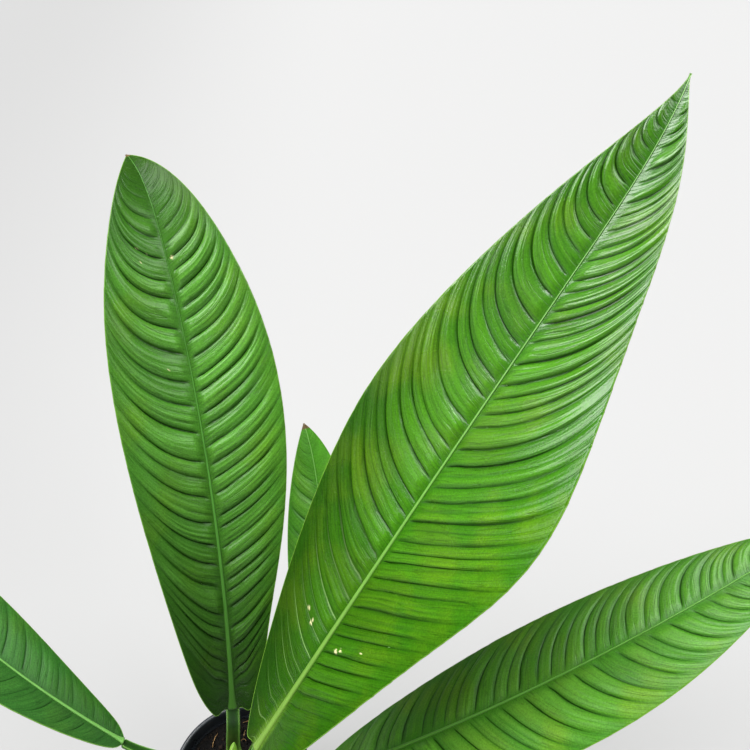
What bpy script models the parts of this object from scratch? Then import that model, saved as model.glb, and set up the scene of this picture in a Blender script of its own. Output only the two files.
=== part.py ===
"""Potted philodendron: a self-heading plant with long quilted leaves in an 11 cm nursery pot.

Metres, +Z up. The origin is the middle of the pot's underside, where it stands. The leaf whose
blade leans back and to the right is the newest and the largest; two older leaves lean towards -Y.
"""

import math

import bmesh
import bpy
import numpy as np
from mathutils import Vector

GAP = 0.0003                    # clearance between pieces that touch
MERGE = 0.00001                 # merge distance of the turned shapes' poles

# Pot
POT_STEPS = 48
POT_HEIGHT = 0.100
POT_RIM_R = 0.055               # outer edge of the rolled rim
POT_WALL = 0.0012
WALL_LOW = (0.0380, 0.003)      # inside radius of the tapering wall at the floor, and its height
WALL_HIGH = (0.0490, 0.086)     # the same where the wider collar begins
FOOT_OUT_R = 0.0385             # standing ring round the base
FOOT_IN_R = 0.0325
PAD_R = 0.0126                  # flat pad in the middle of the base
CHANNEL_RISE = 0.0016           # the ring channel between pad and foot stands clear of the table
DRAIN_HOLES = 8
DRAIN_HOLE_R = 0.0038
DRAIN_CIRCLE_R = 0.0225
DRAIN_HOLE_TURN = 0.42          # of a hole's share of the circle: keeps holes off the facets' edges
DRAIN_NOTCHES = 4
NOTCH_WIDTH = 0.006
NOTCH_HEIGHT = 0.0009
NOTCH_LENGTH = 0.013
NOTCH_START_R = 0.029
NOTCH_TURN = 0.03

# Soil
SOIL_LEVEL = 0.086              # height of the soil against the pot's wall
SOIL_CROWN = 0.0015             # how much it rises towards the middle
SOIL_RIPPLE = 0.0006            # low waves from the middle to the wall
SOIL_BOTTOM = 0.0034
SOIL_LIP = 0.003                # width of the rounded edge against the wall
SOIL_RINGS = 7
SOIL_GAP = 0.0004

# Stem
CROWN = Vector((-0.005, 0.0, 0.0))
STEM_R = 0.009
STEM_BOTTOM = 0.070
STEM_TOP = 0.1135
STEM_STEPS = 24
STEM_RINGS = 5                  # scars that old leaves left, each a step in the stem's side
WAIST = 0.92                    # the stem's width just above a scar, of its full width
SHOULDER = 0.975                # and just below one
POCKET_DEPTH = 0.060            # cutter for the stem's pocket, long enough to clear the soil

# Leaves
BLADE_THICK = 0.0006            # at the margin
RIB_THICK = 0.0024              # over the midrib's keel
ROWS = 26                       # even rows of points from the blade's base to its tip
BASE_ROWS = (0.005, 0.012)      # two more rows, where the lobes at the base turn
SIDE_STEPS = (0.05, 0.25, 0.5, 0.76, 1.0)
LEAST_HALF_WIDTH = 0.0006       # the blade's tip ends this wide on each side
BASE_FRACTION = 0.05            # the blade's half width where it meets its stalk, as a share
LOBE_REACH = 0.05               # how far up the blade the lobes at its base add most, as a share
EAR_RISE = 0.008                # how far out from the stalk the lobes reach back fully
SWELL_REACH = 0.16              # how far the swell at the middle of a margin reaches, as a share
DRIP_REACH = 0.035              # how far back the drawn-out point of the tip narrows it, as a share
EAR_REACH = 0.06                # how far up the blade its base's lobes are drawn back, as a share
MIDRIB_STEPS = 241              # steps that the midrib's path is summed over
LAST_QUARTER = 0.75             # where the extra fall and swing towards the tip begin
STALK_SIDES = 14
STALK_STEPS = 14
STALK_FACE = 0.62               # the stalk's upper side stands out less than its underside
STALK_FLARE = 0.18              # how much wider the stalk's foot clasps the stem

# One entry for each leaf. Lengths are in metres and angles in degrees.
#   base     where the blade starts, at the end of its stalk
#   length   of the blade, along its midrib
#   azimuth, rise   direction of the midrib at the blade's base and tip, from +X and from level
#   dip, turn       extra fall and extra swing of the last quarter
#   roll     turn of the blade about its midrib at base and tip
#   fold     how far the two halves stand up from flat
#   curl     how far their margins come back down, as a share of the half width
#   outline  of the left half and the right one: size, how sharply the base rounds (less is rounder),
#            how late the tip narrows, how drawn-out it is, a swell at the middle, a lobe at the base
#   ears     how far the base's lobes reach back past the stalk
#   drip     how much the drawn-out point of the tip is narrowed, as a share
#   stalk    its width at the base and the top, then the angle and height where it leaves the stem
LEAVES = {
    "leaf_1": dict(base=(0.0013, 0.0184, 0.1800), length=0.423, azimuth=(91.5, 113.5), rise=(55.5, 52),
                   dip=60, turn=12, roll=(9, -1), fold=18, curl=0.0, ears=0.0105, drip=0.15,
                   outline=((0.0668, 0.562, 4.93, 1.133, 0.0, 0.05),
                            (0.0907, 1.062, 2.97, 1.012, 0.0, 0.11)),
                   stalk=(0.0115, 0.0100, 95, 0.1060)),
    "leaf_2": dict(base=(0.0264, -0.0228, 0.2124), length=0.500, azimuth=(41, 33), rise=(47.5, 54),
                   dip=15, turn=30, roll=(-21, 18), fold=13, curl=0.01, ears=0.0085, drip=0.45,
                   outline=((0.1147, 0.794, 1.95, 1.017, 0.05, 0.02),
                            (0.1212, 0.742, 2.16, 1.108, 0.205, 0.06)),
                   stalk=(0.0120, 0.0095, 329, 0.1110)),
    "leaf_3": dict(base=(0.0671, -0.0187, 0.1447), length=0.409, azimuth=(5, 24), rise=(35.5, 26),
                   dip=18, turn=1, roll=(-5, -4), fold=2, curl=0.08, ears=0.0045, drip=0.40,
                   outline=((0.0654, 0.618, 2.31, 0.919, 0.0, 0.02),
                            (0.0661, 0.566, 2.91, 1.204, 0.0, 0.02)),
                   stalk=(0.0105, 0.0085, 5, 0.1000)),
    "leaf_4": dict(base=(-0.0854, 0.0068, 0.1466), length=0.276, azimuth=(163.5, 137), rise=(40, 24),
                   dip=12, turn=0, roll=(19, 7), fold=13, curl=0.04, ears=0.0025, drip=0.30,
                   outline=((0.0376, 0.546, 4.34, 1.108, 0.0, 0.02),
                            (0.0424, 0.726, 4.65, 1.207, 0.0, 0.03)),
                   stalk=(0.0090, 0.0070, 172, 0.0950)),
    "leaf_5": dict(base=(0.0498, 0.0638, 0.1515), length=0.202, azimuth=(65, 112), rise=(52, 47),
                   dip=12, turn=2, roll=(0, 0), fold=12, curl=0.05, ears=0.0025, drip=0.20,
                   outline=((0.0348, 0.654, 3.23, 0.840, 0.0, 0.02),
                            (0.0360, 0.650, 2.40, 0.776, 0.0, 0.02)),
                   stalk=(0.0080, 0.0060, 50, 0.0930)),
    "leaf_6": dict(base=(-0.0380, -0.0560, 0.1420), length=0.300, azimuth=(236, 250), rise=(38, 16),
                   dip=18, turn=-4, roll=(4, -5), fold=9, curl=0.06, ears=0.0040, drip=0.35,
                   outline=((0.0500, 0.602, 3.40, 1.050, 0.0, 0.02),
                            (0.0490, 0.582, 3.20, 1.030, 0.0, 0.02)),
                   stalk=(0.0095, 0.0075, 238, 0.0970)),
    "leaf_7": dict(base=(0.0250, -0.0620, 0.1400), length=0.330, azimuth=(294, 316), rise=(34, 14),
                   dip=20, turn=3, roll=(-6, 3), fold=8, curl=0.07, ears=0.0040, drip=0.35,
                   outline=((0.0530, 0.594, 3.20, 1.040, 0.0, 0.02),
                            (0.0535, 0.566, 3.40, 1.080, 0.0, 0.02)),
                   stalk=(0.0100, 0.0080, 296, 0.0990)),
}

# New leaf, still rolled up, in the middle of the crown
SPEAR_FOOT = (-0.0050, 0.0035, 0.1140)
SPEAR_TIP = (-0.0010, 0.0075, 0.1430)
SPEAR_R = 0.0034
SPEAR_SIDES = 12
SPEAR_STEPS = 10


def remove_everything():
    for item in list(bpy.data.objects):
        bpy.data.objects.remove(item, do_unlink=True)


def new_collection(name):
    group = bpy.data.collections.new(name)
    bpy.context.scene.collection.children.link(group)
    return group


def material(name, colour, roughness, metallic=0.0):
    made = bpy.data.materials.new(name)
    made.use_nodes = True
    shader = made.node_tree.nodes["Principled BSDF"]
    shader.inputs["Base Color"].default_value = (*colour, 1.0)
    shader.inputs["Roughness"].default_value = roughness
    shader.inputs["Metallic"].default_value = metallic
    made.diffuse_color = (*colour, 1.0)
    return made


def add_object(name, mesh, group, look=None):
    made = bpy.data.objects.new(name, mesh)
    group.objects.link(made)
    if look is not None:
        mesh.materials.append(look)
        mesh.shade_smooth()
        mesh.set_sharp_from_angle(angle=math.radians(40))
    return made


def turned(name, profile, steps, group, look):
    """A profile of (radius, height) points turned about Z. It starts and ends on the axis."""
    mesh = bpy.data.meshes.new(name)
    points = [(radius, 0.0, height) for radius, height in profile]
    mesh.from_pydata(points, [(i, i + 1) for i in range(len(points) - 1)], [])
    made = add_object(name, mesh, group, look)
    screw = made.modifiers.new("Turn", "SCREW")
    screw.steps = steps
    screw.render_steps = steps
    screw.use_merge_vertices = True
    screw.merge_threshold = MERGE
    screw.use_normal_calculate = True
    return made


def make_cutter(name, group):
    """The active primitive, moved to the cutters' collection and kept out of renders."""
    made = bpy.context.object
    made.name = name
    for owner in list(made.users_collection):
        owner.objects.unlink(made)
    group.objects.link(made)
    made.hide_render = True
    made.display_type = "WIRE"
    return made


def cut(target, cutter):
    boolean = target.modifiers.new("Cut " + cutter.name, "BOOLEAN")
    boolean.operation = "DIFFERENCE"
    boolean.solver = "EXACT"
    boolean.object = cutter


def wall_radius(height):
    """Inside radius of the pot's tapering wall."""
    share = (height - WALL_LOW[1]) / (WALL_HIGH[1] - WALL_LOW[1])
    return WALL_LOW[0] + (WALL_HIGH[0] - WALL_LOW[0]) * share


def make_pot(parts, cutters):
    look = material("black_pot_plastic", (0.020, 0.022, 0.025), 0.42)
    floor_low = 0.0022
    profile = [
        (0.0, 0.0016),
        (PAD_R - 0.0002, 0.0016),
        (PAD_R + 0.0020, 0.0030),
        (FOOT_IN_R - 0.0020, 0.0030),
        (FOOT_IN_R, floor_low),
        (FOOT_OUT_R - 0.0018, floor_low),
        (wall_radius(0.0034), 0.0034),
        (wall_radius(0.0860), 0.0860),
        (0.0502, 0.0876),
        (0.0508, 0.0968),
        (0.0513, POT_HEIGHT - 0.0010),
        (0.0522, POT_HEIGHT),
        (POT_RIM_R - 0.0012, POT_HEIGHT),
        (POT_RIM_R - 0.0003, POT_HEIGHT - 0.0005),
        (POT_RIM_R, POT_HEIGHT - 0.0015),
        (POT_RIM_R, POT_HEIGHT - 0.0055),
        (POT_RIM_R - 0.0010, POT_HEIGHT - 0.0055),
        (POT_RIM_R - 0.0011, POT_HEIGHT - 0.0018),
        (0.0526, POT_HEIGHT - 0.0014),
        (0.0520, POT_HEIGHT - 0.0030),
        (0.0514, 0.0872),
        (wall_radius(0.0852) + POT_WALL, 0.0852),
        (wall_radius(0.0020) + POT_WALL, 0.0020),
        (FOOT_OUT_R, 0.0),
        (FOOT_IN_R, 0.0),
        (FOOT_IN_R - 0.0020, CHANNEL_RISE),
        (PAD_R + 0.0020, CHANNEL_RISE),
        (PAD_R, 0.0),
        (0.0, 0.0),
    ]
    pot = turned("pot", profile, POT_STEPS, parts, look)
    for i in range(DRAIN_HOLES):
        angle = 2 * math.pi * (i + DRAIN_HOLE_TURN) / DRAIN_HOLES
        bpy.ops.mesh.primitive_cylinder_add(
            vertices=16, radius=DRAIN_HOLE_R, depth=0.012,
            location=(DRAIN_CIRCLE_R * math.cos(angle), DRAIN_CIRCLE_R * math.sin(angle), 0.002))
        cut(pot, make_cutter("drain_hole_%d" % (i + 1), cutters))
    for i in range(DRAIN_NOTCHES):
        angle = 2 * math.pi * (i + NOTCH_TURN) / DRAIN_NOTCHES
        middle = NOTCH_START_R + NOTCH_LENGTH / 2
        bpy.ops.mesh.primitive_cube_add(
            size=1.0, location=(middle * math.cos(angle), middle * math.sin(angle), 0.0),
            rotation=(0.0, 0.0, angle), scale=(NOTCH_LENGTH, NOTCH_WIDTH, 2 * NOTCH_HEIGHT))
        bpy.ops.object.transform_apply(location=False, rotation=False, scale=True)
        cut(pot, make_cutter("drain_notch_%d" % (i + 1), cutters))
    return pot


def make_soil(parts, cutters):
    look = material("potting_mix", (0.030, 0.021, 0.015), 0.95)
    edge = wall_radius(SOIL_LEVEL) - SOIL_LIP
    profile = [(0.0, SOIL_LEVEL + SOIL_CROWN)]
    for i in range(1, SOIL_RINGS):
        share = i / SOIL_RINGS
        rise = SOIL_CROWN * (1 - share ** 2) + SOIL_RIPPLE * math.sin(9 * share)
        profile.append((share * edge, SOIL_LEVEL + rise))
    profile += [
        (edge, SOIL_LEVEL - 0.0004),
        (wall_radius(SOIL_LEVEL - 0.002) - SOIL_GAP, SOIL_LEVEL - 0.002),
        (wall_radius(SOIL_BOTTOM) - SOIL_GAP, SOIL_BOTTOM),
        (0.0, SOIL_BOTTOM),
    ]
    soil = turned("soil", profile, POT_STEPS, parts, look)
    bpy.ops.mesh.primitive_cylinder_add(
        vertices=STEM_STEPS, radius=STEM_R + GAP, depth=POCKET_DEPTH,
        location=(CROWN.x, CROWN.y, STEM_BOTTOM - GAP + POCKET_DEPTH / 2))
    cut(soil, make_cutter("stem_pocket", cutters))
    return soil


def make_stem(parts):
    """Short stout stem with the rings that fallen leaves leave behind."""
    look = material("stem_skin", (0.20, 0.22, 0.08), 0.60)
    profile = [
        (0.0, STEM_TOP),
        (STEM_R * 0.45, STEM_TOP - 0.0006),
        (STEM_R * 0.70, STEM_TOP - 0.0026),
    ]
    low = SOIL_LEVEL + 0.002
    high = STEM_TOP - 0.005
    step = (high - low) / STEM_RINGS
    for i in range(STEM_RINGS):
        top = high - step * i
        profile.append((STEM_R * WAIST, top))
        profile.append((STEM_R * SHOULDER, top - 0.7 * step))
    profile += [
        (STEM_R, low),
        (STEM_R, STEM_BOTTOM + 0.002),
        (STEM_R * 0.7, STEM_BOTTOM),
        (0.0, STEM_BOTTOM),
    ]
    stem = turned("stem", profile, STEM_STEPS, parts, look)
    stem.location = CROWN
    return stem


def blade_frame(leaf, t):
    """Midrib points and the directions along it, across to its left and out of its upper face."""
    fine = np.linspace(0.0, 1.0, MIDRIB_STEPS)
    late = np.clip((fine - LAST_QUARTER) / (1.0 - LAST_QUARTER), 0.0, 1.0) ** 2
    az = np.radians(leaf["azimuth"][0] + (leaf["azimuth"][1] - leaf["azimuth"][0]) * fine
                    + leaf["turn"] * late)
    el = np.radians(leaf["rise"][0] + (leaf["rise"][1] - leaf["rise"][0]) * fine
                    - leaf["dip"] * late)
    along = np.stack([np.cos(el) * np.cos(az), np.cos(el) * np.sin(az), np.sin(el)], axis=1)
    steps = (along[1:] + along[:-1]) / 2 * leaf["length"] / (len(fine) - 1)
    path = np.array(leaf["base"]) + np.vstack([np.zeros(3), np.cumsum(steps, axis=0)])
    left = np.stack([-np.sin(az), np.cos(az), np.zeros_like(az)], axis=1)
    up = np.cross(along, left)
    roll = np.radians(leaf["roll"][0] + (leaf["roll"][1] - leaf["roll"][0]) * fine)[:, None]
    across = np.cos(roll) * left + np.sin(roll) * up
    out = np.cross(along, across)

    def at(values):
        return np.stack([np.interp(t, fine, values[:, k]) for k in range(3)], axis=-1)

    return at(path), at(along), at(across), at(out)


def half_width(leaf, t, side):
    """Half width at t on the left (side = 1) or the right (-1): a round base times a drawn-out tip."""
    size, roundness, late, taper, swell, lobe = leaf["outline"][0 if side > 0 else 1]
    t = np.clip(t, 0.0, 1.0)
    base = BASE_FRACTION + (1.0 - BASE_FRACTION) * (1.0 - (1.0 - t) ** 2) ** roundness
    base = base + lobe * (t / LOBE_REACH) * np.exp(1.0 - t / LOBE_REACH)
    tip = (1.0 - t ** late) ** taper
    middle = 1.0 + swell * np.exp(-((t - 0.5) / SWELL_REACH) ** 2)
    drawn = 1.0 - leaf["drip"] * np.exp(-(1.0 - t) / DRIP_REACH)
    return np.maximum(size * base * tip * middle * drawn, LEAST_HALF_WIDTH)


def blade_points(leaf, t, s):
    """Points of the blade's surface at t along the midrib and s across, from -1 to 1."""
    path, along, across, out = blade_frame(leaf, t)
    half = np.where(s >= 0, half_width(leaf, t, 1), half_width(leaf, t, -1))
    fold = math.radians(leaf["fold"])
    aside = half * s * math.cos(fold)
    lift = half * (np.abs(s) * math.sin(fold) - leaf["curl"] * s ** 2)
    clear_of_stalk = leaf["stalk"][1] / 2 + 0.001
    lobe = np.clip((half * np.abs(s) - clear_of_stalk) / EAR_RISE, 0.0, 1.0)
    lobe = lobe * lobe * (3.0 - 2.0 * lobe)
    back = leaf["ears"] * lobe * np.exp(-t / EAR_REACH)
    return path + aside[..., None] * across + lift[..., None] * out - back[..., None] * along


def make_blade(name, leaf, parts, look):
    """A grid bent to the blade's surface and thickened, most over the midrib."""
    u = np.linspace(0.0, 1.0, ROWS)
    t = 0.45 * u + 0.55 * (0.5 - 0.5 * np.cos(math.pi * u))
    t = np.sort(np.append(t, BASE_ROWS))
    s = np.array([-step for step in reversed(SIDE_STEPS)] + [0.0] + list(SIDE_STEPS))
    bm = bmesh.new()
    bmesh.ops.create_grid(bm, x_segments=len(t) - 1, y_segments=len(s) - 1, size=0.5)
    bm.verts.ensure_lookup_table()
    flat = np.array([vertex.co[:] for vertex in bm.verts])
    row = np.rint((flat[:, 0] + 0.5) * (len(t) - 1)).astype(int)
    column = np.rint((flat[:, 1] + 0.5) * (len(s) - 1)).astype(int)
    for vertex, place in zip(bm.verts, blade_points(leaf, t[row], s[column])):
        vertex.co = place
    mesh = bpy.data.meshes.new(name)
    bm.to_mesh(mesh)
    bm.free()
    blade = add_object(name, mesh, parts, look)
    rib = blade.vertex_groups.new(name="midrib")
    for i in range(len(mesh.vertices)):
        if abs(s[column[i]]) < 1e-6:
            rib.add([i], 1.0 - 0.75 * float(t[row[i]]), "REPLACE")
    solid = blade.modifiers.new("Thickness", "SOLIDIFY")
    solid.thickness = RIB_THICK
    solid.offset = -1.0
    solid.vertex_group = rib.name
    solid.thickness_vertex_group = BLADE_THICK / RIB_THICK
    return blade


def bezier(points, share):
    a, b, c, d = (np.array(point) for point in points)
    share = share[:, None]
    rest = 1.0 - share
    place = rest ** 3 * a + 3 * rest ** 2 * share * b + 3 * rest * share ** 2 * c + share ** 3 * d
    slope = 3 * rest ** 2 * (b - a) + 6 * rest * share * (c - b) + 3 * share ** 2 * (d - c)
    return place, slope / np.linalg.norm(slope, axis=1)[:, None]


def loft(name, rings, group, look):
    """A closed body through rings of points, one ring after another, with flat ends."""
    bm = bmesh.new()
    rows = [[bm.verts.new(point) for point in ring] for ring in rings]
    count = len(rows[0])
    for low, high in zip(rows, rows[1:]):
        for j in range(count):
            k = (j + 1) % count
            bm.faces.new((low[j], low[k], high[k], high[j]))
    bm.faces.new(list(reversed(rows[0])))
    bm.faces.new(rows[-1])
    bmesh.ops.recalc_face_normals(bm, faces=bm.faces)
    mesh = bpy.data.meshes.new(name)
    bm.to_mesh(mesh)
    bm.free()
    return add_object(name, mesh, group, look)


def make_stalk(name, leaf, parts, look):
    """Leaf stalk: a D-shaped section, broad and flat at the stem, that turns to face as the blade."""
    foot_width, top_width, leave_angle, leave_height = leaf["stalk"]
    angle = math.radians(leave_angle)
    outward = np.array((math.cos(angle), math.sin(angle), 0.0))
    _, along, _, out = blade_frame(leaf, np.array([0.0]))
    along, face = along[0], out[0]
    clear = STEM_R + GAP + 0.5 * STALK_FACE * foot_width
    foot = np.array(CROWN) + outward * clear + (0.0, 0.0, leave_height)
    top = np.array(leaf["base"]) - along * GAP * 2 - face * top_width * 0.20
    reach = np.linalg.norm(top - foot)
    rise_first = np.array((0.0, 0.0, 1.0)) * 0.75 + outward * 0.35
    handles = [foot, foot + rise_first * reach * 0.30, top - along * reach * 0.34, top]
    share = np.linspace(0.0, 1.0, STALK_STEPS)
    place, slope = bezier(handles, share)
    around = np.linspace(0.0, 2 * math.pi, STALK_SIDES, endpoint=False) + math.pi / STALK_SIDES
    rings = []
    for i in range(STALK_STEPS):
        facing = -outward * (1.0 - share[i]) + face * share[i]
        facing = facing - slope[i] * np.dot(facing, slope[i])
        facing /= np.linalg.norm(facing)
        side = np.cross(slope[i], facing)
        width = foot_width + (top_width - foot_width) * share[i] ** 0.6
        flare = 1.0 + STALK_FLARE * math.exp(-share[i] / 0.07)
        deep = width * (0.42 + 0.08 * min(1.0, share[i] * 3))
        across = 0.5 * width * flare * np.cos(around)
        height = np.sin(around)
        height = deep * np.where(height > 0, STALK_FACE * height, height)
        rings.append(place[i] + across[:, None] * side + height[:, None] * facing)
    return loft(name, rings, parts, look)


def make_spear(parts, look):
    """The next leaf, rolled into a slim pointed spear beside the youngest stalk."""
    foot, tip = np.array(SPEAR_FOOT), np.array(SPEAR_TIP)
    along = (tip - foot) / np.linalg.norm(tip - foot)
    side = np.cross(along, (0.0, 1.0, 0.0))
    side /= np.linalg.norm(side)
    front = np.cross(along, side)
    around = np.linspace(0.0, 2 * math.pi, SPEAR_SIDES, endpoint=False)
    rings = []
    for share in np.linspace(0.0, 1.0, SPEAR_STEPS):
        radius = SPEAR_R * (0.72 + 0.5 * share) * (1.0 - share ** 3.2) + 0.0004
        ring = (np.cos(around)[:, None] * side + 0.85 * np.sin(around)[:, None] * front) * radius
        rings.append(foot + (tip - foot) * share + ring)
    return loft("new_leaf_spear", rings, parts, look)


def main():
    remove_everything()
    parts = new_collection("potted_philodendron")
    cutters = new_collection("cutters")
    make_pot(parts, cutters)
    make_soil(parts, cutters)
    make_stem(parts)
    greens = {
        "leaf_1": (0.045, 0.165, 0.030),
        "leaf_2": (0.095, 0.300, 0.020),
        "leaf_3": (0.085, 0.250, 0.035),
        "leaf_4": (0.050, 0.180, 0.035),
        "leaf_5": (0.130, 0.300, 0.060),
        "leaf_6": (0.055, 0.190, 0.030),
        "leaf_7": (0.065, 0.215, 0.030),
    }
    stalk_look = material("leaf_stalk", (0.150, 0.270, 0.065), 0.50)
    for name, leaf in LEAVES.items():
        look = material(name + "_green", greens[name], 0.36)
        make_blade(name + "_blade", leaf, parts, look)
        make_stalk(name + "_stalk", leaf, parts, stalk_look)
    make_spear(parts, material("new_leaf", (0.200, 0.330, 0.060), 0.45))
    bpy.context.view_layer.update()


main()
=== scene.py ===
import math

import bpy
import numpy as np
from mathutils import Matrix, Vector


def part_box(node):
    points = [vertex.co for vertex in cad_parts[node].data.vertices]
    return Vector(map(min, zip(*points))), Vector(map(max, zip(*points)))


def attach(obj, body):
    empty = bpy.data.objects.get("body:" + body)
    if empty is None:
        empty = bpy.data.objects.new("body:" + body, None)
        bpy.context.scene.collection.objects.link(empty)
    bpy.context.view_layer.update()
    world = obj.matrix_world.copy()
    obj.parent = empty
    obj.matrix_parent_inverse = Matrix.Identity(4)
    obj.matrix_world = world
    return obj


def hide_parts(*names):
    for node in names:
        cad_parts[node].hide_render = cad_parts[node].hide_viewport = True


# Potted philodendron. Metres, +Z up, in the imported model's own frame. Each leaf is a blade (lamina), a
# raised midrib and a stalk. Blades are surfaces of two numbers: t along the midrib from the stalk to the
# tip, and s across, from -1 at the right margin to 1 at the left one.

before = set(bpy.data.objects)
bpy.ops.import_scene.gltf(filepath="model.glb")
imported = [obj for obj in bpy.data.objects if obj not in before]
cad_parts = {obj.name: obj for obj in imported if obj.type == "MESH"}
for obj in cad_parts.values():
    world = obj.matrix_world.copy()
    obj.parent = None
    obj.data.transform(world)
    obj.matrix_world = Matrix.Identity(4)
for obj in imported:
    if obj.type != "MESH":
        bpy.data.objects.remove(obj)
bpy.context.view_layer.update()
pot_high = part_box("pot")[1]
soil_low, soil_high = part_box("soil")
stem_low, stem_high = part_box("stem")
spear_low, spear_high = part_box("new_leaf_spear")

MM = 0.001
GAP = 0.0003                    # clearance between pieces that touch

# Blades
PATH_STEPS = 961                # places that the midrib's path is summed over
LEAST_HALF_WIDTH = 0.0006       # the blade's tip ends this wide on each side
BASE_FRACTION = 0.05            # half width where the blade meets its stalk, as a share
LOBE_REACH = 0.05               # how far up the blade the lobes at its base add most, as a share
EAR_RISE = 0.008                # how far out from the stalk the lobes reach their full depth
DRIP_REACH = 0.035              # how far back the drawn-out point of the tip narrows it, as a share
EAR_REACH = 0.06                # how far up the blade its base's lobes are drawn back, as a share
SWELL_REACH = 0.16              # how far the swell at the middle of a margin reaches, as a share
LAST_QUARTER = 0.75             # where the extra fall and swing towards the tip begin
LAMINA_THICK = 0.0005
CALM_FADE = 0.12                # over how much of the blade the quilting fades near the tip
ROW_TURN = (0.05, 0.93)         # the rows lie straight across below the first and beyond the second
FAN_REACH = 0.12                # how far up the blade the veins near its base fan out
CROWD_REACH = 0.10              # how far up they stand closer together

# The quilted relief. Rises are shares of the gap between two veins.
PILLOW_RISE = 0.175
PILLOW_POWER = 0.44             # under 1, so that two pillows meet in a crease
FOLD_RISE = 0.038               # of the small folds on a pillow
LET_DOWN = 0.08                 # how far all of it is let down, to stay about the plain blade
RIPPLES = ((0.00016, 1.7, 15.0, 5), (0.00030, 4.5, 24.0, 6))    # height; mm across, along; seed
TRENCH_DEPTH = 0.00025          # of the groove on a vein
TRENCH_MM = 0.8                 # its half width
WANDER = 0.07                   # how far a vein strays, as a share of a gap
WANDER_SIZE = (0.012, 22.0)     # metres along the midrib and mm out from it between two strays
MID_TONE = 0.42                 # crest value of flat leaf, between groove and crest, for the painted shade and light over the relief
LEFT_COUNT = 60.0               # the left veins' count starts here, so no pattern is mirrored
RISE_MM = (0.8, 7.5)            # out from the midrib, where the pillows start and are at full height
FADE_OUT = (0.66, 1.0)          # towards the margin, as a share, where they start and end to flatten
GROOVE_MM = (1.8, 5.0)          # the same two for the grooves
GROOVE_OUT = (0.55, 0.95)

# What each vein draws at random, from the first number to the second
STEP_RANGE = (0.62, 1.38)       # its distance from the vein before, of the usual one
GAIN_RANGE = (0.6, 1.3)         # height of the pillow beyond it
SKEW_RANGE = (0.75, 1.2)        # lean of that pillow
MINOR_RANGE = (0.3, 1.3)        # strength of the small folds on it
CUT_RANGE = (0.35, 1.15)        # strength of its groove
FOLD_COUNTS = (2, 5)            # how many small folds, under the second number
SLANT_RANGE = (-0.5, 0.5)       # how far they slant, in folds from midrib to margin

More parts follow.
